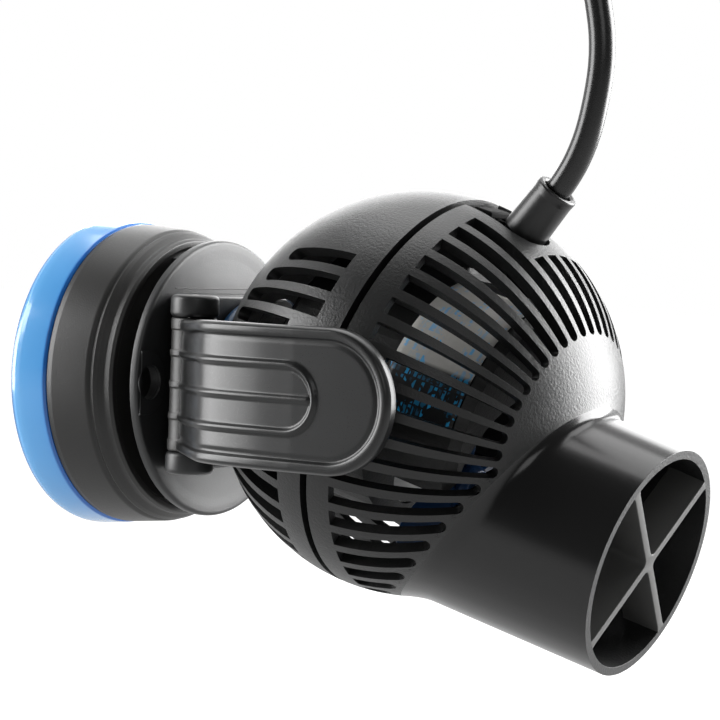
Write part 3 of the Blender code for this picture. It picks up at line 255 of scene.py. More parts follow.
def fill_ramp(node, colours):
    """Set a colour ramp from (position, colour) pairs, the first at 0 and the last at 1."""
    stops = node.color_ramp.elements
    for stop, (position, colour) in zip((stops[0], stops[1]), (colours[0], colours[-1])):
        stop.position = position
        stop.color = (*colour, 1.0)
    for position, colour in colours[1:-1]:
        stops.new(position).color = (*colour, 1.0)


def add_bump(material, surface, height, strength, distance):
    """Bump from a height, on the Principled node's normal."""
    node = add_node(material, "ShaderNodeBump", Strength=strength, Distance=distance)
    link(material, height, node.inputs["Height"])
    link(material, node.outputs["Normal"], surface.inputs["Normal"])


def object_place(material):
    """The object's own coordinates, in metres."""
    return add_node(material, "ShaderNodeTexCoord").outputs["Object"]


def moulded(name, dark, light, roughness, grain=2600.0, bump=0.12, spread=0.08):
    """Moulded plastic or rubber: a grained surface with faint patches of colour and sheen."""
    material, surface = new_material(name, roughness)
    place = object_place(material)
    patches = noise(material, place, 45.0, 3.0)
    fine = noise(material, place, grain, 3.0, 0.6)
    share = mapped(material, patches, 0.3, 0.7, 0.0, 1.0)
    link(material, mixed(material, share, dark, light), surface.inputs["Base Color"])
    sheen = mapped(material, fine, 0.25, 0.75, roughness - spread / 2, roughness + spread / 2)
    link(material, sheen, surface.inputs["Roughness"])
    add_bump(material, surface, fine, bump, 0.0002)
    return material


def turned_metal(name, colour, roughness):
    """Metal with fine turning marks."""
    material, surface = new_material(name, roughness, 1.0)
    place = object_place(material)
    rings = noise(material, place, 3800.0, 2.0)
    broad = noise(material, place, 120.0, 2.0)
    darker = tuple(channel * 0.8 for channel in colour)
    link(material, mixed(material, broad, darker, colour), surface.inputs["Base Color"])
    link(material, mapped(material, rings, 0.3, 0.7, roughness - 0.08, roughness + 0.1),
         surface.inputs["Roughness"])
    add_bump(material, surface, rings, 0.08, 0.0001)
    return material


def pad_blue(name):
    """Blue elastomer with painted light and shade: painted shade on the face towards the glass, a painted
    highlight near that edge that fades along the side, and a deep blue painted shade beside the housing.
    """
    material, surface = new_material(name, 0.16)
    place = object_place(material)
    split = add_node(material, "ShaderNodeSeparateXYZ")
    link(material, place, split.inputs[0])
    low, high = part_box("glass_pad")
    along = mapped(material, split.outputs["X"], low.x, high.x, 0.0, 1.0)
    # Colour along X paints light and shade: painted shade on the glass face, a painted highlight just after it,
    # and a deep blue band of painted shade beside the housing.
    ramp = add_node(material, "ShaderNodeValToRGB")
    fill_ramp(ramp, [(0.0, (0.03, 0.13, 0.36)), (0.08, (0.12, 0.38, 0.72)),
                     (0.35, (0.09, 0.33, 0.68)), (0.78, (0.075, 0.30, 0.65)),
                     (0.84, (0.0, 0.12, 0.50)), (1.0, (0.0, 0.05, 0.26))])
    link(material, along, ramp.inputs["Fac"])
    patches = noise(material, place, 60.0, 3.0)
    share = mapped(material, patches, 0.3, 0.7, 0.0, 0.16)
    link(material, mixed(material, share, ramp.outputs["Color"], (0.13, 0.38, 0.76)),
         surface.inputs["Base Color"])
    fine = noise(material, place, 1800.0, 2.0)
    link(material, mapped(material, fine, 0.3, 0.7, 0.13, 0.22), surface.inputs["Roughness"])
    add_bump(material, surface, fine, 0.04, 0.0002)
    surface.inputs["Coat Weight"].default_value = 0.4
    surface.inputs["Coat Roughness"].default_value = 0.08
    return material


def printed_label(name):
    """A pale sheet with rows of plain blue marks; its lower part is dark."""
    material, surface = new_material(name, 0.5)
    uv = add_node(material, "ShaderNodeTexCoord").outputs["UV"]
    white, black = (1.0, 1.0, 1.0, 1.0), (0.0, 0.0, 0.0, 1.0)
    bricks = add_node(material, "ShaderNodeTexBrick", Scale=1.0, Mortar_Size=0.0002,
                      Mortar_Smooth=0.1, Bias=0.15, Brick_Width=0.0011, Row_Height=0.0027,
                      Color1=white, Color2=black, Mortar=black)
    bricks.offset = 0.37
    bricks.offset_frequency = 2
    bricks.squash = 1.5
    bricks.squash_frequency = 3
    link(material, uv, bricks.inputs["Vector"])
    words = noise(material, uv, 150.0, 0.0)
    marks = noise(material, uv, 950.0, 0.0)
    shown = mapped(material, words, 0.45, 0.47, 0.0, 1.0)
    inked = mapped(material, marks, 0.44, 0.5, 0.0, 1.0)
    ink = product(material, bricks.outputs["Color"], product(material, shown, inked))
    split = add_node(material, "ShaderNodeSeparateXYZ")
    link(material, uv, split.inputs[0])
    fibres = noise(material, uv, 900.0, 3.0)
    pale = mixed(material, fibres, (0.50, 0.49, 0.46), (0.60, 0.59, 0.56))
    lower = mapped(material, split.outputs["Y"], 0.0255, 0.0265, 0.0, 1.0)
    sheet = mixed(material, lower, pale, (0.006, 0.007, 0.008))
    link(material, mixed(material, ink, sheet, (0.02, 0.50, 1.0)),
         surface.inputs["Base Color"])
    link(material, mapped(material, fibres, 0.3, 0.7, 0.4, 0.6), surface.inputs["Roughness"])
    return material


def laminated(name):
    """Stacked dark steel sheets."""
    material, surface = new_material(name, 0.5, 0.7)
    place = object_place(material)
    stack = add_node(material, "ShaderNodeTexWave", Scale=320.0, Distortion=0.3)
    link(material, place, stack.inputs["Vector"])
    link(material, mixed(material, stack.outputs["Fac"], (0.08, 0.08, 0.085), (0.22, 0.22, 0.23)),
         surface.inputs["Base Color"])
    add_bump(material, surface, stack.outputs["Fac"], 0.2, 0.0002)
    return material


def studio_white(name):
    """A pale floor that glows white far off and takes a soft shadow near the object, where its glow is also dimmed
    as painted shade.
    """
    material, surface = new_material(name, 0.9)
    place = object_place(material)
    patches = noise(material, place, 1.5, 2.0)
    link(material, mixed(material, patches, (0.20, 0.20, 0.20), (0.21, 0.21, 0.21)),
         surface.inputs["Base Color"])
    surface.inputs["Specular IOR Level"].default_value = 0.0
    surface.inputs["Emission Color"].default_value = (1.0, 1.0, 1.0, 1.0)
    reach = add_node(material, "ShaderNodeVectorMath")
    reach.operation = "LENGTH"
    link(material, place, reach.inputs[0])
    # Painted shade: the glow the camera sees is dimmed near the object and rises to full white far off; other rays
    # see an even glow.
    camera_glow_with_painted_shade = mapped(material, reach.outputs["Value"], 0.15, 0.45, 0.72, 1.0)
    path = add_node(material, "ShaderNodeLightPath")
    glow = add_node(material, "ShaderNodeMix")
    link(material, path.outputs["Is Camera Ray"], glow.inputs[0])
    glow.inputs[2].default_value = 0.38
    link(material, camera_glow_with_painted_shade, glow.inputs[3])
    link(material, glow.outputs[0], surface.inputs["Emission Strength"])
    return material


# ---------------------------------------------------------------- mesh tools

def finish_mesh(bm, name, smooth_angle=SMOOTH_ANGLE):
    """Turn a bmesh into a mesh that is smooth up to an angle."""
    mesh = bpy.data.meshes.new(name)
    bm.to_mesh(mesh)
    bm.free()
    mesh.shade_smooth()
    mesh.set_sharp_from_angle(angle=math.radians(smooth_angle))
    return mesh


def add_piece(name, mesh, material, body, replaced=(), place=None):
    """A piece in place, riding on a body, standing for some nodes."""
    if place is not None:
        mesh.transform(place)
    piece = bpy.data.objects.new(name, mesh)
    mesh.materials.append(material)
    bpy.context.scene.collection.objects.link(piece)
    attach(piece, body)
    if replaced:
        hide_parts(*replaced)
    return piece


def add_bevel(piece, width, segments=2, angle=SMOOTH_ANGLE):
    """Round the edges that are sharper than an angle."""
    step = piece.modifiers.new("edges", "BEVEL")
    step.width = width
    step.segments = segments
    step.limit_method = "ANGLE"
    step.angle_limit = math.radians(angle)
    step.harden_normals = False


def add_wall(piece, thickness, offset):
    """Give a sheet a thickness, outward for an offset of 1 and inward for -1."""
    wall = piece.modifiers.new("wall", "SOLIDIFY")
    wall.thickness = thickness
    wall.offset = offset


def arc(centre, radius, start, end, steps):
    """Points of an arc in degrees, both ends included."""
    points = []
    for step in range(steps + 1):
        angle = math.radians(start + (end - start) * step / steps)
        points.append((centre[0] + radius * math.cos(angle), centre[1] + radius * math.sin(angle)))
    return points


def curve_point(start, corner, end, t):
    """A point on the curve that turns a corner between a start and an end."""
    return start * (1 - t) ** 2 + corner * 2 * t * (1 - t) + end * t ** 2


def rounded(points, closed=True, steps=4):
    """A polyline of (a, b, radius) with each corner turned by an arc of its radius."""
    result = []
    count = len(points)
    for i, (a, b, radius) in enumerate(points):
        corner = Vector((a, b))
        if radius <= 0.0 or (not closed and i in (0, count - 1)):
            result.append((a, b))
            continue
        before = Vector(points[i - 1][:2]) - corner
        after = Vector(points[(i + 1) % count][:2]) - corner
        half = before.angle(after) / 2
        cut = min(radius / math.tan(half), before.length * 0.49, after.length * 0.49)
        start = corner + before.normalized() * cut
        end = corner + after.normalized() * cut
        for step in range(steps + 1):
            point = curve_point(start, corner, end, step / steps)
            result.append((point.x, point.y))
    return result


def join_rows(bm, rows, closed=False):
    """Faces between neighbouring rows of vertices, where a closed row runs right round."""
    for first, second in zip(rows, rows[1:]):
        count = len(first)
        for i in range(count if closed else count - 1):
            after = (i + 1) % count
            bm.faces.new((first[i], first[after], second[after], second[i]))


def lathe_mesh(name, profile, segments, closed=True, turn=(0.0, 360.0)):
    """A profile of (along X, radius) turned about X. A closed profile is a ring."""
    bm = bmesh.new()
    full = turn[1] - turn[0] >= 360.0
    rings = []
    steps = segments if full else segments + 1
    for index in range(steps):
        angle = math.radians(turn[0] + (turn[1] - turn[0]) * index / segments)
        ring = []
        for along, radius in profile:
            ring.append(bm.verts.new((along, -radius * math.sin(angle), radius * math.cos(angle))))
        rings.append(ring)
    count = len(profile)
    spans = count if closed else count - 1
    for index in range(segments):
        here = rings[index]
        there = rings[(index + 1) % steps]
        for row in range(spans):
            after = (row + 1) % count
            bm.faces.new((here[row], here[after], there[after], there[row]))
    if not full and closed:
        bm.faces.new(rings[0])
        bm.faces.new(rings[-1])
    bmesh.ops.remove_doubles(bm, verts=bm.verts, dist=1e-7)
    bmesh.ops.dissolve_degenerate(bm, edges=bm.edges, dist=1e-8)
    bmesh.ops.recalc_face_normals(bm, faces=bm.faces)
    return finish_mesh(bm, name)


def lathe_piece(name, outline, segments, material, body, replaced, place=None, closed=True,
                steps=4):
    """A piece turned about X from an outline of (along X, radius, corner) in millimetres."""
    profile = [(a * MM, b * MM) for a, b in rounded(outline, closed, steps)]
    return add_piece(name, lathe_mesh(name, profile, segments, closed), material, body, replaced,
                     place)


def axial(place, axis):
    """A frame at a point whose X runs along an axis."""
    turn = Vector(axis).normalized().to_track_quat("X", "Z").to_matrix().to_4x4()
    return Matrix.Translation(place) @ turn


def box_mesh(name, low, high):
    """A box between two corners."""
    bm = bmesh.new()
    size = [high[i] - low[i] for i in range(3)]
    centre = [(high[i] + low[i]) / 2 for i in range(3)]
    bmesh.ops.create_cube(bm, size=1.0,
                          matrix=Matrix.Translation(centre) @ Matrix.Diagonal((*size, 1.0)))
    return finish_mesh(bm, name)


def outline_mesh(name, outline, thickness, holes=(), bevel=0.0, bevel_steps=3):
    """A flat outline in XY with holes, extruded along Z, with round edges."""
    curve = bpy.data.curves.new(name, "CURVE")
    curve.dimensions = "2D"
    curve.fill_mode = "BOTH"
    curve.extrude = thickness / 2 - bevel
    curve.bevel_depth = bevel
    curve.bevel_resolution = bevel_steps
    curve.offset = -bevel
    for line in (outline, *holes):
        spline = curve.splines.new("POLY")
        spline.use_cyclic_u = True
        spline.points.add(len(line) - 1)
        for target, point in zip(spline.points, line):
            target.co = (point[0], point[1], 0.0, 1.0)
    holder = bpy.data.objects.new(name, curve)
    bpy.context.scene.collection.objects.link(holder)
    bpy.context.view_layer.update()
    evaluated = holder.evaluated_get(bpy.context.evaluated_depsgraph_get())
    mesh = bpy.data.meshes.new_from_object(evaluated)
    bpy.data.objects.remove(holder, do_unlink=True)
    bm = bmesh.new()
    bm.from_mesh(mesh)
    bmesh.ops.remove_doubles(bm, verts=bm.verts, dist=1e-6)
    bmesh.ops.recalc_face_normals(bm, faces=bm.faces)
    return finish_mesh(bm, name)


def tube_piece(name, points, radius, material, body, resolution):
    """A round bar along points."""
    curve = bpy.data.curves.new(name, "CURVE")
    curve.dimensions = "3D"
    curve.bevel_depth = radius
    curve.bevel_resolution = resolution
    curve.use_fill_caps = True
    spline = curve.splines.new("POLY")
    spline.points.add(len(points) - 1)
    for target, point in zip(spline.points, points):
        target.co = (*point, 1.0)
    spline.use_smooth = True
    return add_piece(name, curve, material, body)


def smooth_route(points, steps):
    """Points along a Catmull-Rom curve through a route."""
    padded = [2 * points[0] - points[1], *points, 2 * points[-1] - points[-2]]
    route = []
    for i in range(1, len(padded) - 2):
        before, start, end, after = padded[i - 1:i + 3]
        for step in range(steps):
            t = step / steps
            route.append(0.5 * (
                2 * start + (end - before) * t
                + (2 * before - 5 * start + 4 * end - after) * t ** 2
                + (3 * start - before - 3 * end + after) * t ** 3))
    route.append(points[-1])
    return route


def ease(share):
    """A smooth step from 0 to 1."""
    share = min(max(share, 0.0), 1.0)
    return share * share * (3 - 2 * share)


# ---------------------------------------------------------------- cord

def coil_frame():
    """Beside the coil: X along its axis, Y away from the ball, Z up."""
    low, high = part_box("cord_coil")
    return Matrix.Translation((low + high) / 2) @ Matrix.Rotation(COIL_HEADING, 4, "Z")


def on_coil(place, layer, radius, angle):
    """A point round the coil's axis."""
    return place @ Vector((layer, radius * math.cos(angle), radius * math.sin(angle)))


def coil_slots():
    """Radius and layer of each turn, each beside the one before it."""
    diameter = 2 * CORD_RADIUS
    outer, middle, inner = (COIL_INNER_TURN + diameter * n for n in (2, 1, 0))
    return [(outer, diameter), (outer, 0.0), (outer, -diameter), (middle, -diameter),
            (inner, -diameter), (inner, 0.0), (middle, 0.0), (middle, diameter), (inner, diameter)]


def plug_layer():
    """How far beside the coil's middle the plug and the cord into it lie."""
    return COIL_HALF + 2 * GAP + PLUG_RADIUS


def cord_points():
    """The cord's whole centreline, from the gland through the coil to the plug."""
    place = coil_frame()
    points = smooth_route([Vector(point) * MM for point in CORD_ROUTE_MM], 3)
    slots = coil_slots()
    beside = COIL_HALF + GAP + CORD_RADIUS
    steps = 20
    shift_from = 0.72                 # share of a turn after which the cord moves to the next one
    tail_from = 0.78
    last_share = 330 / 360
    for turn, (radius, layer) in enumerate(slots):
        after = slots[turn + 1] if turn + 1 < len(slots) else None
        for step in range(steps):
            share = step / steps
            if after is None and share > last_share - 1e-6:
                break
            if turn == 0 and step < 2:
                continue
            angle = math.pi + 2 * math.pi * share
            blend = ease((share - shift_from) / (1 - shift_from))
            if after is not None:
                at_radius = radius + (after[0] - radius) * blend
                at_layer = layer + (after[1] - layer) * blend
            else:
                blend = ease((share - tail_from) / (last_share - tail_from))
                at_radius = radius + (TAIL_RADIUS - radius) * blend
                at_layer = layer + (beside - layer) * blend
            points.append(on_coil(place, at_layer, at_radius, angle))
    for step in range(13):
        share = step / 12
        angle = math.radians(150 + 120 * share)
        across = beside + (plug_layer() - beside) * ease(share)
        points.append(on_coil(place, across, TAIL_RADIUS, angle))
    for reach in (3.0 * MM, 7.0 * MM, 12.0 * MM):
        points.append(place @ Vector((plug_layer(), reach, -TAIL_RADIUS)))
    return points


def make_cord(sheath):
    """The free cord as one curve."""
    cord = tube_piece("power_cord_fine", cord_points(), CORD_RADIUS, sheath, "ball", 5)
    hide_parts("power_cord", "cord_coil", "cord_tail")
    return cord


def plug_frame(aside=(0.0, 0.0)):
    """On the plug's axis: X runs along the plug towards its pins."""
    place = coil_frame() @ Matrix.Translation((plug_layer() + aside[0], 0.0,
                                               aside[1] - TAIL_RADIUS))
    return place @ Matrix.Rotation(math.pi / 2, 4, "Z")


def make_plug(body_plastic, nickel, rubber):
    """The plug's relief with ribs, its gripped body, shell and pins."""
    made = []
    bore = CORD_RADIUS + 0.1 * MM
    relief = [(1.0, bore / MM, 0.2)]
    for index in range(5):
        start = 1.0 + index * 2.3
        width = 4.15 + 0.2 * index
        relief += [(start, width, 0.3), (start + 1.5, width + 0.1, 0.3),
                   (start + 1.5, width - 0.75, 0.1), (start + 2.3, width - 0.65, 0.1)]
    relief += [(12.9, 5.1, 0.2), (12.9, bore / MM, 0.1)]
    made.append(lathe_piece("plug_relief_fine", relief, 72, rubber, "ball", ("plug_relief",),
                            plug_frame()))
    body = [(13.3, 0.0, 0), (13.3, 5.5, 0.6), (18.3, 7.0, 1.5), (20.5, 7.0, 0.3), (20.9, 6.5, 0.2),
            (21.7, 6.5, 0.2), (22.1, 7.0, 0.3)]
    for index in range(6):
        start = 24.0 + index * 1.7
        body += [(start, 7.0, 0.2), (start + 0.35, 6.6, 0.2), (start + 0.85, 6.6, 0.2),
                 (start + 1.2, 7.0, 0.2)]
    body += [(36.3, 7.0, 0.5), (37.2, 6.4, 0.4), (37.2, 0.0, 0)]
    made.append(lathe_piece("plug_body_fine", body, 96, body_plastic, "ball", ("plug_body",),
                            plug_frame(), False))
    shell = [(37.7, 0.0, 0), (37.7, 6.5, 0.3), (47.5, 6.5, 0.3), (47.5, 5.95, 0.2),
             (39.7, 5.95, 0.2), (39.7, 0.0, 0)]
    made.append(lathe_piece("plug_shell_fine", shell, 96, nickel, "ball", ("plug_shell",),
                            plug_frame(), False))
    for index in range(3):
        angle = 2 * math.pi * index / 3
        aside = (3.2 * MM * math.cos(angle), 3.2 * MM * math.sin(angle))
        pin = [(39.9, 0.0, 0), (39.9, 0.54, 0.05), (46.3, 0.54, 0.3), (46.55, 0.0, 0)]
        name = f"plug_pin_{index + 1}"
        made.append(lathe_piece(name + "_fine", pin, 24, nickel, "ball", (name,),
                                plug_frame(aside), False))
    return made


def make_tie(strap):
    """The strap round the coil's top: a smooth band that hugs the turns."""
    half = COIL_HALF + 0.9 * MM
    low = COIL_INNER_TURN - CORD_RADIUS - 1.6 * MM
    high = COIL_INNER_TURN + 5 * CORD_RADIUS + 0.9 * MM
    corner = 3.0 * MM
    outline = []
    for centre, start in (((half - corner, high - corner), 0), ((corner - half, high - corner), 90),
                          ((corner - half, low + corner), 180), ((half - corner, low + corner), 270)):
        outline += arc(centre, corner, start, start + 90, 8)
    bm = bmesh.new()
    rows = []
    width = 12 * MM
    for step in range(9):
        across = width * (step / 8 - 0.5)
        bulge = 0.12 * MM * math.cos(math.pi * (step / 8 - 0.5))
        row = []
        for x, z in outline:
            outward = Vector((x, z - (low + high) / 2)).normalized() * bulge
            row.append(bm.verts.new((x + outward.x, across, z + outward.y)))
        rows.append(row)
    join_rows(bm, rows, True)
    bmesh.ops.recalc_face_normals(bm, faces=bm.faces)
    band = add_piece("cord_tie_fine", finish_mesh(bm, "cord_tie_fine"), strap, "ball", ("cord_tie",),
                     coil_frame())
    add_wall(band, 0.8 * MM, 1.0)
    add_bevel(band, 0.25 * MM)
    return band


def make_gland(rubber):
    """The sleeve with a rolled lip that the cord leaves through."""
    outline = [(-4.0, 3.0, 0), (-4.0, 4.25, 0.3), (-1.9, 4.3, 0.3), (-0.9, 5.0, 0.4),
               (9.2, 4.68, 0.8), (9.9, 4.75, 0.5), (11.4, 4.85, 0.95), (11.4, 3.4, 0.8),
               (9.0, 3.0, 0.3)]
    place = (BALL_FRAME @ Matrix.Translation(GLAND_PLACE)
             @ Matrix.Rotation(GLAND_LEAN - math.pi / 2, 4, "Y"))
    return lathe_piece("cable_gland_fine", outline, 96, rubber, "ball", ("cable_gland",),
                       place, steps=6)


# ---------------------------------------------------------------- mount and holder

def make_pad(blue):
    """The thick pad with a soft outer edge and a small step beside the housing."""
    outline = [(-0.4, 0.0, 0), (-0.4, 36.1, 0.7), (1.2, 36.5, 0.8), (2.5, 36.45, 1.5),
               (8.8, 35.8, 0.4), (9.2, 35.2, 0.2), (9.25, 34.4, 0.1), (10.5, 34.4, 0.2),
               (10.5, 0.0, 0)]
    lathe_piece("glass_pad_fine", outline, 180, blue, "mount", ("glass_pad",),
                closed=False, steps=6)


def make_housing(plastic):
    """The magnet's cup with a soft shoulder, a groove, a sloping front and a raised lip."""
    outline = [(10.8, 29.4, 0.1), (10.8, 34.6, 0.05), (9.4, 34.6, 0.05), (9.4, 35.3, 0.35),
               (11.0, 35.45, 0.8), (20.3, 34.5, 1.4),
               (20.9, 33.75, 0.25), (21.3, 33.75, 0.25), (21.7, 34.1, 0.3), (22.6, 33.5, 0.9),
               (23.6, 32.4, 0.7), (25.2, 32.45, 0.4), (25.9, 32.0, 0.4), (25.9, 30.6, 0.4),
               (24.5, 29.9, 0.3), (24.5, 4.4, 0.2), (21.3, 4.4, 0.1), (21.3, 29.4, 0.1)]
    lathe_piece("magnet_housing_fine", outline, 180, plastic, "mount", ("magnet_housing",),
                steps=5)


def hole_outline():
    """The round hole beside the jaw, in (y, z)."""
    return arc(HOLE_CENTRE, HOLE_RADIUS, 0, 352, 44)


def across_x():
    """Turn a flat outline drawn in (y, z) so that its thickness runs along X."""
    return Matrix(((0, 0, 1, 0), (1, 0, 0, 0), (0, 1, 0, 0), (0, 0, 0, 1)))


def make_plate(plastic):
    """The round plate with its soft edge, skirt and framed hole."""
    outline = [(30.3, 4.4, 0.1), (30.3, 31.4, 0.5), (30.9, 32.2, 0.5), (32.95, 32.2, 1.1),
               (32.95, 30.0, 0.5), (32.9, 28.0, 0.5), (32.9, 4.4, 0.2)]
    plate = lathe_piece("holder_plate_fine", outline, 180, plastic, "holder", ("holder_plate",),
                        steps=6)
    through = outline_mesh("hole_cut", hole_outline(), 12 * MM)
    through.transform(Matrix.Translation((32 * MM, 0, 0)) @ across_x())
    cut_out(plate, through)

    ring = [(-31.0 * MM, 6.9 * MM), (-31.0 * MM, -7.5 * MM)]
    for across, up in arc((0.0, 0.0), 1.0, -90, 90, 28):
        ring.append(((6.0 * across - 28.2) * MM, (7.2 * up - 0.3) * MM))
    frame_mesh = outline_mesh("keyhole_frame", ring, 0.8 * MM, (hole_outline(),), 0.12 * MM)
    frame_mesh.transform(Matrix.Translation((32.85 * MM, 0, 0)) @ across_x())
    add_piece("keyhole_frame", frame_mesh, plastic, "holder")

    skirt = [(26.4, 28.7, 0.3), (30.4, 28.7, 0), (30.4, 30.3, 0), (26.4, 30.3, 0.3)]
    profile = [(a * MM, b * MM) for a, b in rounded(skirt)]
    half = math.degrees(math.acos(27.0 / 29.5))
    for index, middle in enumerate((0.0, 180.0)):
        mesh = lathe_mesh(f"skirt_{index + 1}", profile, 24, turn=(middle - half, middle + half))
        add_piece(f"plate_skirt_{index + 1}", mesh, plastic, "holder")

    ridge = [Vector((33.0 * MM, y * MM, 21.0 * MM)) for y in range(-19, 20, 2)]
    tube_piece("plate_mould_line", ridge, 0.12 * MM, plastic, "holder", 2)


def cut_out(piece, mesh):
    """Cut a mesh out of a piece for good."""
    cutter = bpy.data.objects.new("cutter", mesh)
    bpy.context.scene.collection.objects.link(cutter)
    step = piece.modifiers.new("cut", "BOOLEAN")
    step.object = cutter
    step.solver = "EXACT"
    bpy.context.view_layer.update()
    evaluated = piece.evaluated_get(bpy.context.evaluated_depsgraph_get())
    result = bpy.data.meshes.new_from_object(evaluated)
    piece.modifiers.clear()
    old = piece.data
    piece.data = result
    bpy.data.meshes.remove(old)
    result.set_sharp_from_angle(angle=math.radians(SMOOTH_ANGLE))
    bpy.data.objects.remove(cutter, do_unlink=True)


def make_clamp_base(plastic):
    """The block with soft edges and its four rounded knuckles."""
    low = (33.3 * MM, -21.0 * MM, -19.9 * MM)
    high = (40.8 * MM, 21.0 * MM, 19.9 * MM)
    block = add_piece("clamp_base_fine", box_mesh("clamp_base_fine", low, high), plastic, "holder",
                      ("clamp_base",))
    well = [(30 * MM, 0.0), (30 * MM, 7.8 * MM), (45 * MM, 7.8 * MM), (45 * MM, 0.0)]
    cut_out(block, lathe_mesh("well", well, 64, False))
    add_bevel(block, 1.1 * MM, 4)
    for side in (-1, 1):
        centre = (HINGE_X, side * HINGE_Y)
        outline = [(40.2 * MM, side * 17.0 * MM), (34.6 * MM, side * 17.0 * MM),
                   (34.6 * MM, side * 21.6 * MM)]
        outline += arc(centre, KNUCKLE_RADIUS, 140 * side, -50 * side, 28)
        if side > 0:
            outline.reverse()
        for level in (-1, 1):
            name = f"{SIDE_NAMES[side]}_{'low' if level < 0 else 'high'}"
            mesh = outline_mesh(f"knuckle_{name}", outline, KNUCKLE_HEIGHT, bevel=1.1 * MM,
                                bevel_steps=4)
            mesh.transform(Matrix.Translation((0, 0, level * KNUCKLE_LEVEL)))
            add_piece(f"knuckle_{name}", mesh, plastic, "holder")
            head = [(0.0, 0.0, 0), (0.0, 1.7, 0.3), (0.55, 1.5, 0.3), (0.7, 0.0, 0)]
            place = axial((HINGE_X, side * HINGE_Y, level * 19.3 * MM), (0, 0, level))
            lathe_piece(f"pin_head_{name}", head, 40, MATERIALS["stainless"], "holder", (),
                        place, False)


def make_buffer(silicone):
    """The soft ring between the clamp base and the ball."""
    thickness = 2.2 * MM
    profile = arc((41.1 * MM + thickness, 17.0 * MM), thickness, 0, 345, 23)
    add_piece("buffer_ring_fine", lathe_mesh("buffer_ring_fine", profile, 120), silicone,
              "holder", ("buffer_ring",))


# ---------------------------------------------------------------- jaws

def arm_line():
    """A jaw's outer line in plan as (x, outward distance), closely spaced."""
    rough = []
    for angle in (29, 36, 43, 50, 57):
        turn = math.radians(angle)
        rough.append(Vector((BALL_CENTRE.x - ARM_BEND * math.cos(turn), ARM_BEND * math.sin(turn))))
    rough += [Vector((BALL_CENTRE.x - 25.4 * MM, ARM_OUTER_Y - 2.3 * MM)),
              Vector((BALL_CENTRE.x - 20.4 * MM, ARM_OUTER_Y - 1.15 * MM)),
              Vector((BALL_CENTRE.x - 12.0 * MM, ARM_OUTER_Y - 0.3 * MM)),
              Vector((BALL_CENTRE.x - 2.0 * MM, ARM_OUTER_Y)),
              Vector((ARM_ROUND_X, ARM_OUTER_Y))]
    line = smooth_route(rough[:-1], 12)
    start = line[-1]
    for step in range(1, 37):
        line.append(start.lerp(rough[-1], step / 36))
    for angle in range(2, 90, 2):
        reach = ARM_HALF_WIDTH * math.sin(math.radians(angle))
        line.append(Vector((ARM_ROUND_X + reach, ARM_OUTER_Y)))
    return line


def bead(distance, half_width, height):
    """Height of a round bead at a distance from its middle."""
    share = 1.0 - (distance / half_width) ** 2
    return height * share ** 0.7 if share > 0.0 else 0.0


def arm_relief(x, z, half):
    """Height of a jaw's face above its line: rolled rim, groove, panel and ribs."""
    if x < ARM_ROUND_X:
        border = half - abs(z)
    else:
        border = ARM_HALF_WIDTH - math.hypot(x - ARM_ROUND_X, z)
    if x < RIB_END:
        loop = abs(abs(z) - RIB_RADIUS)
        middle = abs(z)
    else:
        loop = abs(math.hypot(x - RIB_END, z) - RIB_RADIUS)
        middle = math.hypot(max(x - RIB_END - 5.5 * MM, 0.0), z)
    panel = -0.45 * MM * ease((border - 2.2 * MM) / (0.7 * MM))
    panel += 0.2 * MM * ease((border - 3.1 * MM) / (1.0 * MM))
    ribs = max(bead(loop, 0.85 * MM, 0.75 * MM), bead(middle, 0.75 * MM, 0.6 * MM))
    rim = bead(border - 1.3 * MM, 1.35 * MM, 0.45 * MM)
    edge = -0.8 * MM * max(0.0, 1.0 - border / (0.9 * MM)) ** 2
    return panel + ribs + rim + edge - 0.1 * MM


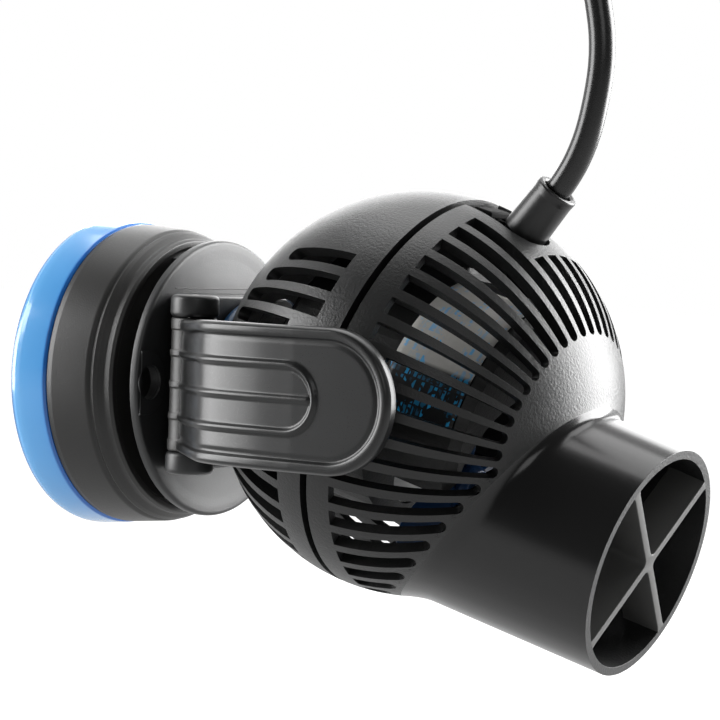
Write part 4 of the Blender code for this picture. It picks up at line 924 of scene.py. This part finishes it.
def make_arm(plastic, side):
    """A jaw: a curved plate with relief outside, smooth inside, and a beaded barrel."""
    name = SIDE_NAMES[side]
    line = arm_line()
    bm = bmesh.new()
    outer, inner = [], []
    for index, point in enumerate(line):
        before = line[max(index - 1, 0)]
        after = line[min(index + 1, len(line) - 1)]
        tangent = (after - before).normalized()
        normal = Vector((-tangent.y, tangent.x))
        grow = ease((point.x - HINGE_X - 7 * MM) / (9 * MM))
        half = ARM_BARREL_HALF + (ARM_HALF_WIDTH - ARM_BARREL_HALF) * grow
        if point.x > ARM_ROUND_X:
            half = math.sqrt(max(ARM_HALF_WIDTH ** 2 - (point.x - ARM_ROUND_X) ** 2, 0.0))
        top, under = [], []
        for level in range(ARM_LEVELS + 1):
            share = 2 * level / ARM_LEVELS - 1
            z = half * (0.6 * share + 0.4 * math.sin(math.pi / 2 * share))
            lift = arm_relief(point.x, z, half)
            place = point + normal * lift
            back = point - normal * (ARM_WALL - 0.2 * MM)
            top.append(bm.verts.new((place.x, side * place.y, z)))
            under.append(bm.verts.new((back.x, side * back.y, z)))
        outer.append(top)
        inner.append(under)
    join_rows(bm, outer)
    join_rows(bm, inner)
    for i in (0, ARM_LEVELS):
        for first, second, third, fourth in zip(outer, outer[1:], inner, inner[1:]):
            bm.faces.new((first[i], second[i], fourth[i], third[i]))
    for end in (0, -1):
        join_rows(bm, [outer[end], inner[end]])
    bmesh.ops.recalc_face_normals(bm, faces=bm.faces)
    arm = add_piece(f"clamp_arm_{name}_fine", finish_mesh(bm, f"clamp_arm_{name}_fine", 50), plastic,
                    f"jaw_{name}", (f"clamp_arm_{name}",))
    add_bevel(arm, 0.35 * MM, 2, 55)
    outline = [(-14.8, 2.1, 0.2), (-14.8, 5.1, 0.5)]
    for level in (-13.2, -7.0, 0.0, 7.0, 13.2):
        if abs(level) < 10:
            outline += [(level - 0.95, 4.95, 0.2), (level - 0.5, 5.2, 0.3),
                        (level + 0.5, 5.2, 0.3), (level + 0.95, 4.95, 0.2)]
        else:
            inner_end = level - math.copysign(1.2, level)
            pair = [(inner_end, 4.95, 0.2), (inner_end + math.copysign(0.4, level), 5.15, 0.2)]
            outline += pair if level > 0 else pair[::-1]
    outline += [(14.8, 5.1, 0.5), (14.8, 2.1, 0.2)]
    place = axial((HINGE_X, side * HINGE_Y, 0), (0, 0, 1))
    lathe_piece(f"jaw_barrel_{name}", outline, 72, MATERIALS["housing_black"], f"jaw_{name}", (),
                place)


def make_grip_pad(rubber, side):
    """The dished rubber washer between a jaw and the ball."""
    name = SIDE_NAMES[side]
    low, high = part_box(f"grip_pad_{name}")
    back = max(abs(low.y), abs(high.y)) / MM
    outline = [(back, 4.0, 0.2), (back, 10.0, 0.3), (44.3, 10.0, 0.25)]
    for radius in (8.0, 6.0, 4.0):
        outline.append((math.sqrt(GRIP_DISH_MM ** 2 - radius ** 2), radius, 0.0))
    place = axial((BALL_CENTRE.x, 0, 0), (0, side, 0))
    lathe_piece(f"grip_pad_{name}_fine", outline, 96, rubber, f"jaw_{name}", (f"grip_pad_{name}",),
                place)


# ---------------------------------------------------------------- ball

def from_top(angle):
    """An angle's distance from the top of the ball, 0 to pi."""
    turned = angle % (2 * math.pi)
    return min(turned, 2 * math.pi - turned)


def radius_round_tube(angle, reach):
    """Distance from the ball's axis, at an angle, of a circle round the outlet."""
    across = TUBE_OFFSET * math.sin(angle)
    return -TUBE_OFFSET * math.cos(angle) + math.sqrt(reach ** 2 - across ** 2)


def latitude_of_radius(radius):
    """The ball's latitude where it is that far from its axis."""
    return math.acos(min(radius / BALL_RADIUS, 1.0))


def latitude_at(along):
    """The ball's latitude at a distance along its axis."""
    return math.asin(along / BALL_RADIUS)


def ball_point(latitude, angle):
    """A point on the ball: angle 0 is its top and a quarter turn is its near side."""
    ring = BALL_RADIUS * math.cos(latitude)
    return Vector((BALL_RADIUS * math.sin(latitude), -ring * math.sin(angle), ring * math.cos(angle)))


def evenly(start, end, count):
    """Count steps from a start, which is left out, to an end."""
    return [start + (end - start) * (step + 1) / count for step in range(count)]


def slot_start(angle, usual):
    """Where a slot starts, from the seam."""
    top = from_top(angle)
    if usual == FRONT_SLOT_START and top < NOTCH_REACH:
        return NOTCH_SLOT_START
    return POLE_SLOT_START if abs(top - math.pi / 2) < POLE_REACH else usual


def front_limits(slot, angle):
    """The latitudes where a front slot starts and where it ends at an angle."""
    first = latitude_at(slot_start(slot, FRONT_SLOT_START))
    last = min(FRONT_SLOT_END_LATITUDE,
               latitude_of_radius(radius_round_tube(angle, SLOT_KEEP_OUT)))
    return first, max(last, first + math.radians(1.0))


def front_is_open(slot):
    """Whether a front slot is cut."""
    first, last = front_limits(slot, slot)
    return last - first > SHORTEST_SLOT


def row_of(latitude, start, end, rows):
    """The number of the evenly spaced row nearest to a latitude."""
    return round(rows * (latitude - start) / (end - start))


def front_start_row(slot):
    """The row where a front slot starts."""
    first, last = front_limits(slot, slot)
    return max(row_of(first, latitude_at(SEAM_FRONT), last, FRONT_ROWS), 2)


def notch_row():
    """The row where the gland's notch ends."""
    return row_of(latitude_at(NOTCH_END), latitude_at(SEAM_FRONT),
                  FRONT_SLOT_END_LATITUDE, FRONT_ROWS)


def wrapped(angle):
    """An angle from minus to plus half a turn."""
    return (angle + math.pi) % (2 * math.pi) - math.pi


def slot_end(end, width, part, turn):
    """Rows (latitude, angle from the slot's middle) of a slot's round end."""
    rows = []
    for step, degrees in enumerate(ROUND_STEPS):
        narrow = math.cos(math.radians(degrees))
        latitude = end - width * (1 - math.sin(math.radians(degrees)))
        if step == len(ROUND_STEPS) - 1:
            latitude = end - width * (1 - math.sqrt(1 - (narrow * part) ** 2))
        rows.append((latitude, turn * narrow))
    return rows


def on_sphere(latitude, angle):
    """A point of the ball with its normal and wall thickness."""
    point = ball_point(latitude, angle)
    return point, point.normalized(), BALL_WALL


def sphere_run(latitudes, angle):
    """Points of the ball at several latitudes and one angle."""
    return [on_sphere(latitude, angle) for latitude in latitudes]


def column_turn(part):
    """A column's angle from its slot's middle.

    Part is -1, 0 or 1 across a slot and None in the middle of the rib after it.
    """
    return SLOT_PITCH / 2 if part is None else SLOT_HALF_ANGLE * part


def across_notch(angle):
    """Where an angle lies across the gland's notch, from -1 to 1."""
    return (wrapped(angle) - NOTCH_MIDDLE) / NOTCH_HALF_ANGLE


def front_column(slot, part):
    """Points of a front column, from the seam to the mouth, with normals and walls."""
    turn = column_turn(part)
    angle = slot + turn
    seam = latitude_at(SEAM_FRONT)
    is_slot = part is not None and front_is_open(slot)
    first, last = front_limits(slot, slot if is_slot else angle)
    points = [on_sphere(seam, angle)]
    begun = 0
    across = across_notch(angle)
    if abs(across) <= NOTCH_BORDER:
        begun = notch_row()
        shoulder = latitude_at(NOTCH_END)
        shoulder -= NOTCH_ROUND * (1 - math.sqrt(max(1 - across ** 2, 0.0)))
        points += sphere_run(evenly(seam, shoulder, begun), angle)
        seam = shoulder
    if is_slot:
        start = front_start_row(slot)
        points += sphere_run(evenly(seam, first, start - begun), angle)
        rows = slot_end(last, SLOT_HALF_ANGLE * math.cos(last), part, turn)
        straight = FRONT_ROWS - start - len(rows) + 1
        points += sphere_run(evenly(first, rows[0][0], straight), angle)
        points += [on_sphere(latitude, slot + offset) for latitude, offset in rows[1:]]
    else:
        points += sphere_run(evenly(seam, last, FRONT_ROWS - begun), angle)
    fillet = latitude_of_radius(radius_round_tube(angle, FILLET_RADIUS))
    points += sphere_run(evenly(last, fillet, RIM_ROWS), angle)
    return points + tube_column(points[-1], angle)


def tube_column(start, angle):
    """The rest of a front column: the fillet and the outlet tube."""
    axis = Vector((0.0, 0.0, -TUBE_OFFSET))
    base = start[0]
    outward = Vector((0.0, base.y, base.z)) - axis
    outward.normalize()
    corner = ball_point(latitude_of_radius(radius_round_tube(angle, TUBE_RADIUS)), angle)
    end = Vector((corner.x + 2.2 * MM, 0, 0)) + axis + outward * (TUBE_RADIUS + TUBE_FLARE)
    bend = corner.lerp((base + end) / 2, 0.35)
    points = []
    for t in evenly(0.0, 1.0, TUBE_ROWS):
        points.append((curve_point(base, bend, end, t), start[1].lerp(outward, t).normalized(),
                       BALL_WALL + (TUBE_WALL - BALL_WALL) * t))
    for share in evenly(0.0, 1.0, TUBE_ROWS):
        reach = TUBE_RADIUS + TUBE_FLARE * (1 - share)
        place = Vector((end.x + (TUBE_MOUTH - end.x) * share, 0, 0)) + axis + outward * reach
        points.append((place, outward, TUBE_WALL))
    return points


def front_cell_is_open(slot, part, step):
    """Whether the cell right after a front column is part of a slot or of the notch."""
    across = across_notch(slot + column_turn(part))
    if step < notch_row() and -NOTCH_BORDER <= across < NOTCH_LAST_CELL:
        return True
    return part in (-1, 0) and front_start_row(slot) <= step < FRONT_ROWS and front_is_open(slot)


def rear_limits(slot):
    """The latitudes of a rear slot's two ends, both behind the seam."""
    reach = REAR_REACH_LEAST + (math.degrees(from_top(slot)) - 52) * 0.9
    return (-latitude_at(slot_start(slot, REAR_SLOT_START)),
            -math.radians(min(max(reach, REAR_REACH_LEAST), REAR_REACH_MOST)))


def rear_rows(slot):
    """The rows of a rear slot's tip and start, counted from the rear cap."""
    first, last = rear_limits(slot)
    cap = -latitude_of_radius(REAR_CAP_RADIUS)
    seam = latitude_at(SEAM_REAR)
    return row_of(last, cap, seam, REAR_ROWS), row_of(first, cap, seam, REAR_ROWS)


def rear_is_open(slot):
    """Whether a rear slot is cut."""
    return from_top(slot) > REAR_SLOT_TOP


def rear_column(slot, part):
    """Points of a rear column, from the rear cap to the seam."""
    turn = column_turn(part)
    angle = slot + turn
    cap = -latitude_of_radius(REAR_CAP_RADIUS)
    seam = latitude_at(SEAM_REAR)
    points = [on_sphere(cap, angle)]
    if part is None or not rear_is_open(slot):
        return points + sphere_run(evenly(cap, seam, REAR_ROWS), angle)
    first, last = rear_limits(slot)
    tip_row, start_row = rear_rows(slot)
    rows = slot_end(-last, SLOT_HALF_ANGLE * math.cos(last), part, turn)[::-1]
    points += sphere_run(evenly(cap, -rows[0][0], tip_row)[:-1], angle)
    points += [on_sphere(-latitude, slot + offset) for latitude, offset in rows]
    straight = start_row - tip_row - len(rows) + 1
    points += sphere_run(evenly(-rows[-1][0], first, straight), angle)
    return points + sphere_run(evenly(first, seam, REAR_ROWS - start_row), angle)


def rear_cell_is_open(slot, part, step):
    """Whether the cell right after a rear column is part of a slot."""
    tip_row, start_row = rear_rows(slot)
    return part in (-1, 0) and tip_row <= step < start_row and rear_is_open(slot)


def make_casing(name, column_points, cell_is_open, material):
    """A casing lofted over its columns: outer and inner skins joined round every opening."""
    bm = bmesh.new()
    columns = []
    for index in range(SLOT_COUNT):
        for part in (-1, 0, 1, None):
            columns.append((SLOT_TURN + index * SLOT_PITCH, part))
    skins = []
    for slot, part in columns:
        column = column_points(slot, part)
        skins.append(([bm.verts.new(point) for point, _, _ in column],
                      [bm.verts.new(point - normal * wall) for point, normal, wall in column]))
    rows = len(skins[0][0]) - 1
    count = len(columns)
    closed = [[not cell_is_open(*columns[i], step) for step in range(rows)] for i in range(count)]
    for i in range(count):
        outer, inner = skins[i]
        next_outer, next_inner = skins[(i + 1) % count]
        for step in range(rows):
            if not closed[i][step]:
                continue
            skin = bm.faces.new((outer[step], outer[step + 1], next_outer[step + 1],
                                 next_outer[step]))
            skin.material_index = 1 if step >= FRONT_ROWS + RIM_ROWS else 0
            bm.faces.new((inner[step], next_inner[step], next_inner[step + 1], inner[step + 1]))
            if not closed[i - 1][step]:
                bm.faces.new((outer[step], inner[step], inner[step + 1], outer[step + 1]))
            if not closed[(i + 1) % count][step]:
                bm.faces.new((next_outer[step], next_outer[step + 1], next_inner[step + 1],
                              next_inner[step]))
            if step == 0 or not closed[i][step - 1]:
                bm.faces.new((outer[step], next_outer[step], next_inner[step], inner[step]))
            if step == rows - 1 or not closed[i][step + 1]:
                bm.faces.new((outer[step + 1], inner[step + 1], next_inner[step + 1],
                              next_outer[step + 1]))
    loose = [vert for vert in bm.verts if not vert.link_faces]
    bmesh.ops.delete(bm, geom=loose, context="VERTS")
    bmesh.ops.recalc_face_normals(bm, faces=bm.faces)
    casing = add_piece(f"{name}_fine", finish_mesh(bm, f"{name}_fine", 45), material, "ball",
                       (name,), BALL_FRAME)
    add_bevel(casing, 0.2 * MM, 2, 52)
    return casing


def make_small_ball_parts(plastic, vane):
    """The rear cap, the ring in the seam, the latch and the crossed vanes."""
    back = -math.sqrt(BALL_RADIUS ** 2 - REAR_CAP_RADIUS ** 2) / MM
    outline = [(back + 2.4, 0.0, 0), (back + 2.4, 8.1, 0.2), (back + 0.2, 8.1, 0.5),
               (back - 0.4, 6.1, 1.5), (back - 0.65, 0.0, 0)]
    lathe_piece("rear_cap_fine", outline, 96, plastic, "ball", ("rear_cap",),
                BALL_FRAME, False)
    outline = [(-3.4, 40.0, 0.1), (-3.4, 41.9, 0.3), (4.6, 41.9, 0.3), (4.6, 40.0, 0.1)]
    lathe_piece("joint_ring_fine", outline, 180, MATERIALS["inner_black"], "ball",
                ("joint_ring",), BALL_FRAME)
    latch = add_piece("casing_latch_fine", box_mesh(
        "casing_latch_fine", (2.2 * MM, -4.4 * MM, 42.4 * MM), (6.8 * MM, 4.4 * MM, 44.0 * MM)),
        MATERIALS["inner_black"], "ball", ("casing_latch",), BALL_FRAME)
    add_bevel(latch, 0.45 * MM, 3)
    make_cross(vane)


def make_cross(plastic):
    """The crossed vanes with fillets where they meet, flush with the mouth."""
    reach = TUBE_RADIUS - TUBE_WALL + 0.3 * MM
    half = 1.0 * MM
    fillet = 1.7 * MM
    root = 1.4 * MM                   # length of a vane's thicker end at the tube
    outline = []
    for quarter in range(4):
        turn = math.radians(45 + 90 * quarter)
        along = Vector((math.cos(turn), math.sin(turn)))
        side = Vector((-along.y, along.x))
        wide = half + 0.35 * MM
        outline += [along * reach - side * wide, along * reach + side * wide,
                    along * (reach - root) + side * half]
        corner = along * half + side * half
        start = corner + along * fillet
        end = corner + side * fillet
        outline += [curve_point(start, corner, end, step / 4) for step in range(5)]
        outline.append(side * (reach - root) + along * half)
    depth = 9.0 * MM
    mesh = outline_mesh("outlet_cross_fine", [(p.x, p.y) for p in outline], depth, bevel=0.18 * MM)
    mesh.transform(Matrix.Translation((TUBE_MOUTH - depth / 2, 0, -TUBE_OFFSET)) @ across_x())
    add_piece("outlet_cross_fine", mesh, plastic, "ball", ("outlet_cross",), BALL_FRAME)


def make_label(paper):
    """The printed sheet on the motor can, with its own flat coordinates in metres."""
    bm = bmesh.new()
    flat = bm.loops.layers.uv.new("flat")
    rows = []
    for step in range(41):
        angle = LABEL_TOP + LABEL_SPAN * step / 40
        row = []
        for x in range(14):
            along = (5.6 + 19.2 * x / 13) * MM
            row.append(bm.verts.new((along, -LABEL_RADIUS * math.sin(angle),
                                     LABEL_RADIUS * math.cos(angle))))
        rows.append(row)
    join_rows(bm, rows)
    for face in bm.faces:
        for loop in face.loops:
            point = loop.vert.co
            angle = math.atan2(-point.y, point.z) - LABEL_TOP
            loop[flat].uv = (point.x, LABEL_RADIUS * angle)
    bmesh.ops.recalc_face_normals(bm, faces=bm.faces)
    probe = bm.faces[:][0]
    centre = probe.calc_center_median()
    if probe.normal.dot(Vector((0, centre.y, centre.z))) < 0:
        bmesh.ops.reverse_faces(bm, faces=bm.faces)
    label = add_piece("motor_label_fine", finish_mesh(bm, "motor_label_fine"), paper, "ball",
                      ("motor_label",), BALL_FRAME)
    add_wall(label, 0.25 * MM, -1.0)


def make_propeller(plastic):
    """The hub with its twisted blades."""
    outline = [(9.0, 2.2, 0.1), (9.0, 5.2, 0.4), (18.4, 5.4, 0.8), (20.0, 4.6, 0.4), (20.0, 2.2, 0.1)]
    lathe_piece("propeller_hub", outline, 96, plastic, "rotor", ("propeller",),
                ROTOR_FRAME)
    cap = [(21.3, 0.0, 0), (21.3, 3.8, 0.2), (22.6, 3.6, 0.8), (24.4, 2.4, 1.2), (25.2, 0.0, 0)]
    lathe_piece("propeller_cap_fine", cap, 72, plastic, "rotor", ("propeller_cap",),
                ROTOR_FRAME, False)
    for index in range(BLADE_COUNT):
        bm = bmesh.new()
        rows = []
        for step in range(17):
            share = step / 16
            radius = (4.8 + 16.7 * share) * MM
            pitch = math.radians(52 - 26 * share)
            chord = (7.0 + 5.0 * math.sin(math.pi * share * 0.8)) * MM
            if share > 0.85:
                chord *= math.sqrt(max(1.0 - ((share - 0.85) / 0.155) ** 2, 0.02))
            row = []
            for step_across in range(13):
                side = step_across / 12 - 0.5
                camber = 0.6 * MM * math.cos(math.pi * side)
                along = 14.5 * MM + side * chord * math.sin(pitch) + camber * math.cos(pitch)
                swing = (side * chord * math.cos(pitch) - camber * math.sin(pitch)) / radius
                swing += 2 * math.pi * index / BLADE_COUNT
                row.append(bm.verts.new((along, -radius * math.sin(swing),
                                         radius * math.cos(swing))))
            rows.append(row)
        join_rows(bm, rows)
        bmesh.ops.recalc_face_normals(bm, faces=bm.faces)
        blade = add_piece(f"propeller_blade_{index + 1}", finish_mesh(bm, "blade"), plastic, "rotor",
                          place=ROTOR_FRAME)
        add_wall(blade, 0.9 * MM, 0.0)
        add_bevel(blade, 0.3 * MM, 3)


# ---------------------------------------------------------------- studio

def add_light(name, place, size, energy):
    """A soft white area light aimed at the object."""
    data = bpy.data.lights.new(name, "AREA")
    data.shape = "RECTANGLE"
    data.size, data.size_y = size
    data.energy = energy
    lamp = bpy.data.objects.new(name, data)
    lamp.location = place
    lamp.rotation_euler = (Vector(LIGHT_TARGET) - Vector(place)).to_track_quat("-Z", "Y").to_euler()
    lamp.visible_camera = False
    bpy.context.scene.collection.objects.link(lamp)


def make_world():
    """A white studio: bright behind the object, dim on the camera's side, for reflections."""
    world = bpy.data.worlds.new("studio")
    bpy.context.scene.world = world
    world.use_nodes = True
    nodes = world.node_tree.nodes
    links = world.node_tree.links
    background = nodes["Background"]
    place = nodes.new("ShaderNodeTexCoord")
    behind = nodes.new("ShaderNodeVectorMath")
    behind.operation = "DOT_PRODUCT"
    behind.inputs[1].default_value = (-math.sin(VIEW_AZIMUTH), math.cos(VIEW_AZIMUTH), 0.0)
    links.new(place.outputs["Generated"], behind.inputs[0])
    ramp = nodes.new("ShaderNodeValToRGB")
    greys = ((0.0, 0.10), (0.45, 0.14), (0.62, 0.42), (0.8, 0.9), (1.0, 1.0))
    fill_ramp(ramp, [(position, (grey, grey, grey)) for position, grey in greys])
    shift = nodes.new("ShaderNodeMapRange")
    shift.inputs["From Min"].default_value = -1.0
    links.new(behind.outputs["Value"], shift.inputs["Value"])
    links.new(shift.outputs["Result"], ramp.inputs["Fac"])
    links.new(ramp.outputs["Color"], background.inputs["Color"])
    white = nodes.new("ShaderNodeBackground")
    white.inputs["Color"].default_value = (1.0, 1.0, 1.0, 1.0)
    path = nodes.new("ShaderNodeLightPath")
    mix = nodes.new("ShaderNodeMixShader")
    links.new(path.outputs["Is Camera Ray"], mix.inputs["Fac"])
    links.new(background.outputs[0], mix.inputs[1])
    links.new(white.outputs[0], mix.inputs[2])
    links.new(mix.outputs[0], nodes["World Output"].inputs["Surface"])


def make_studio():
    """The pale floor, the world and the soft lights."""
    make_world()
    bm = bmesh.new()
    bmesh.ops.create_circle(bm, cap_ends=True, segments=96, radius=FLOOR_RADIUS,
                            matrix=Matrix.Translation((LIGHT_TARGET[0], 0, FLOOR_LEVEL)))
    floor = bpy.data.objects.new("studio_floor", finish_mesh(bm, "studio_floor"))
    floor.data.materials.append(studio_white("floor_white"))
    bpy.context.scene.collection.objects.link(floor)
    add_light("left_softbox", (-0.66, -0.46, 0.16), (0.5, 0.85), 12.5)
    add_light("top_softbox", (0.0, 0.25, 0.85), (0.9, 0.6), 5.0)
    add_light("right_softbox", (0.66, 0.74, 0.28), (0.8, 0.9), 33.0)
    add_light("back_softbox", (-0.35, 0.85, 0.35), (0.8, 0.6), 5.0)
    add_light("front_fill", (0.75, -0.75, 0.45), (0.5, 0.5), 1.2)


make_camera()

MATERIALS = {
    "pad_blue": pad_blue("pad_blue"),
    "housing_black": moulded("housing_black", (0.0085, 0.0083, 0.0078), (0.0115, 0.0112, 0.0105),
                             0.42, 2600.0, 0.2),
    "holder_grey": moulded("holder_grey", (0.010, 0.0105, 0.011), (0.014, 0.0145, 0.015), 0.38,
                           2800.0, 0.12),
    "plate_grey": moulded("plate_grey", (0.013, 0.0135, 0.014), (0.017, 0.0175, 0.018), 0.42,
                          2800.0, 0.12),
    "arm_black": moulded("arm_black", (0.0045, 0.0048, 0.005), (0.0065, 0.0068, 0.007), 0.29,
                         4200.0, 0.04, spread=0.05),
    "cage_black": moulded("cage_black", (0.0052, 0.0055, 0.0055), (0.0078, 0.008, 0.008), 0.38,
                          1700.0, 0.5),
    "tube_black": moulded("tube_black", (0.0035, 0.0036, 0.0036), (0.005, 0.005, 0.005), 0.2,
                          3500.0, 0.03, spread=0.04),
    "vane_grey": moulded("vane_grey", (0.05, 0.05, 0.049), (0.065, 0.065, 0.063), 0.42,
                         spread=0.1),
    "silicone_blue": moulded("silicone_blue", (0.0, 0.035, 0.10), (0.002, 0.05, 0.13), 0.4),
    "rubber_black": moulded("rubber_black", (0.0055, 0.0055, 0.0056), (0.008, 0.008, 0.0082), 0.33,
                            2600.0, 0.06),
    "cord_black": moulded("cord_black", (0.0045, 0.0045, 0.0046), (0.0065, 0.0065, 0.0066), 0.26,
                          2600.0, 0.04),
    "inner_black": moulded("inner_black", (0.004, 0.004, 0.004), (0.007, 0.007, 0.007), 0.75),
    "plug_black": moulded("plug_black", (0.006, 0.006, 0.006), (0.009, 0.009, 0.009), 0.4),
    "stainless": turned_metal("stainless", (0.50, 0.50, 0.49), 0.3),
    "nickel": turned_metal("nickel", (0.60, 0.58, 0.55), 0.2),
    "ferrite": moulded("ferrite", (0.02, 0.02, 0.022), (0.035, 0.035, 0.037), 0.6, 900.0, 0.3),
    "lamination": laminated("lamination"),
    "copper": turned_metal("copper", (0.55, 0.24, 0.10), 0.35),
    "ceramic": moulded("ceramic", (0.60, 0.60, 0.58), (0.68, 0.68, 0.66), 0.25, 800.0, 0.03),
    "rotor_blue": moulded("rotor_blue", (0.004, 0.03, 0.10), (0.008, 0.045, 0.13), 0.3),
    "label_print": printed_label("label_print"),
}

INNER_SURFACE = MATERIALS["inner_black"].node_tree.nodes["Principled BSDF"]
INNER_SURFACE.inputs["Specular IOR Level"].default_value = 0.1

for subpart in frame["record"]["subparts"]:
    node = frame["nodes"][subpart["node"]]
    node.data.materials.clear()
    hidden = subpart["node"] in ("joint_ring", "casing_latch")
    node.data.materials.append(MATERIALS["inner_black" if hidden else subpart["material_slot"]])

flex = make_cord(MATERIALS["cord_black"])
plug_pieces = make_plug(MATERIALS["plug_black"], MATERIALS["nickel"], MATERIALS["plug_black"])
tie = make_tie(MATERIALS["rubber_black"])
gland = make_gland(MATERIALS["rubber_black"])

make_pad(MATERIALS["pad_blue"])
make_housing(MATERIALS["housing_black"])
make_plate(MATERIALS["plate_grey"])
make_clamp_base(MATERIALS["holder_grey"])
make_buffer(MATERIALS["silicone_blue"])
for arm_side in (-1, 1):
    make_arm(MATERIALS["arm_black"], arm_side)
    make_grip_pad(MATERIALS["rubber_black"], arm_side)
front = make_casing("front_casing", front_column, front_cell_is_open, MATERIALS["cage_black"])
front.data.materials.append(MATERIALS["tube_black"])
make_casing("rear_casing", rear_column, rear_cell_is_open, MATERIALS["cage_black"])
make_small_ball_parts(MATERIALS["cage_black"], MATERIALS["vane_grey"])
make_label(MATERIALS["label_print"])
make_propeller(MATERIALS["rotor_blue"])
make_studio()
bpy.context.scene.view_settings.view_transform = "Standard"
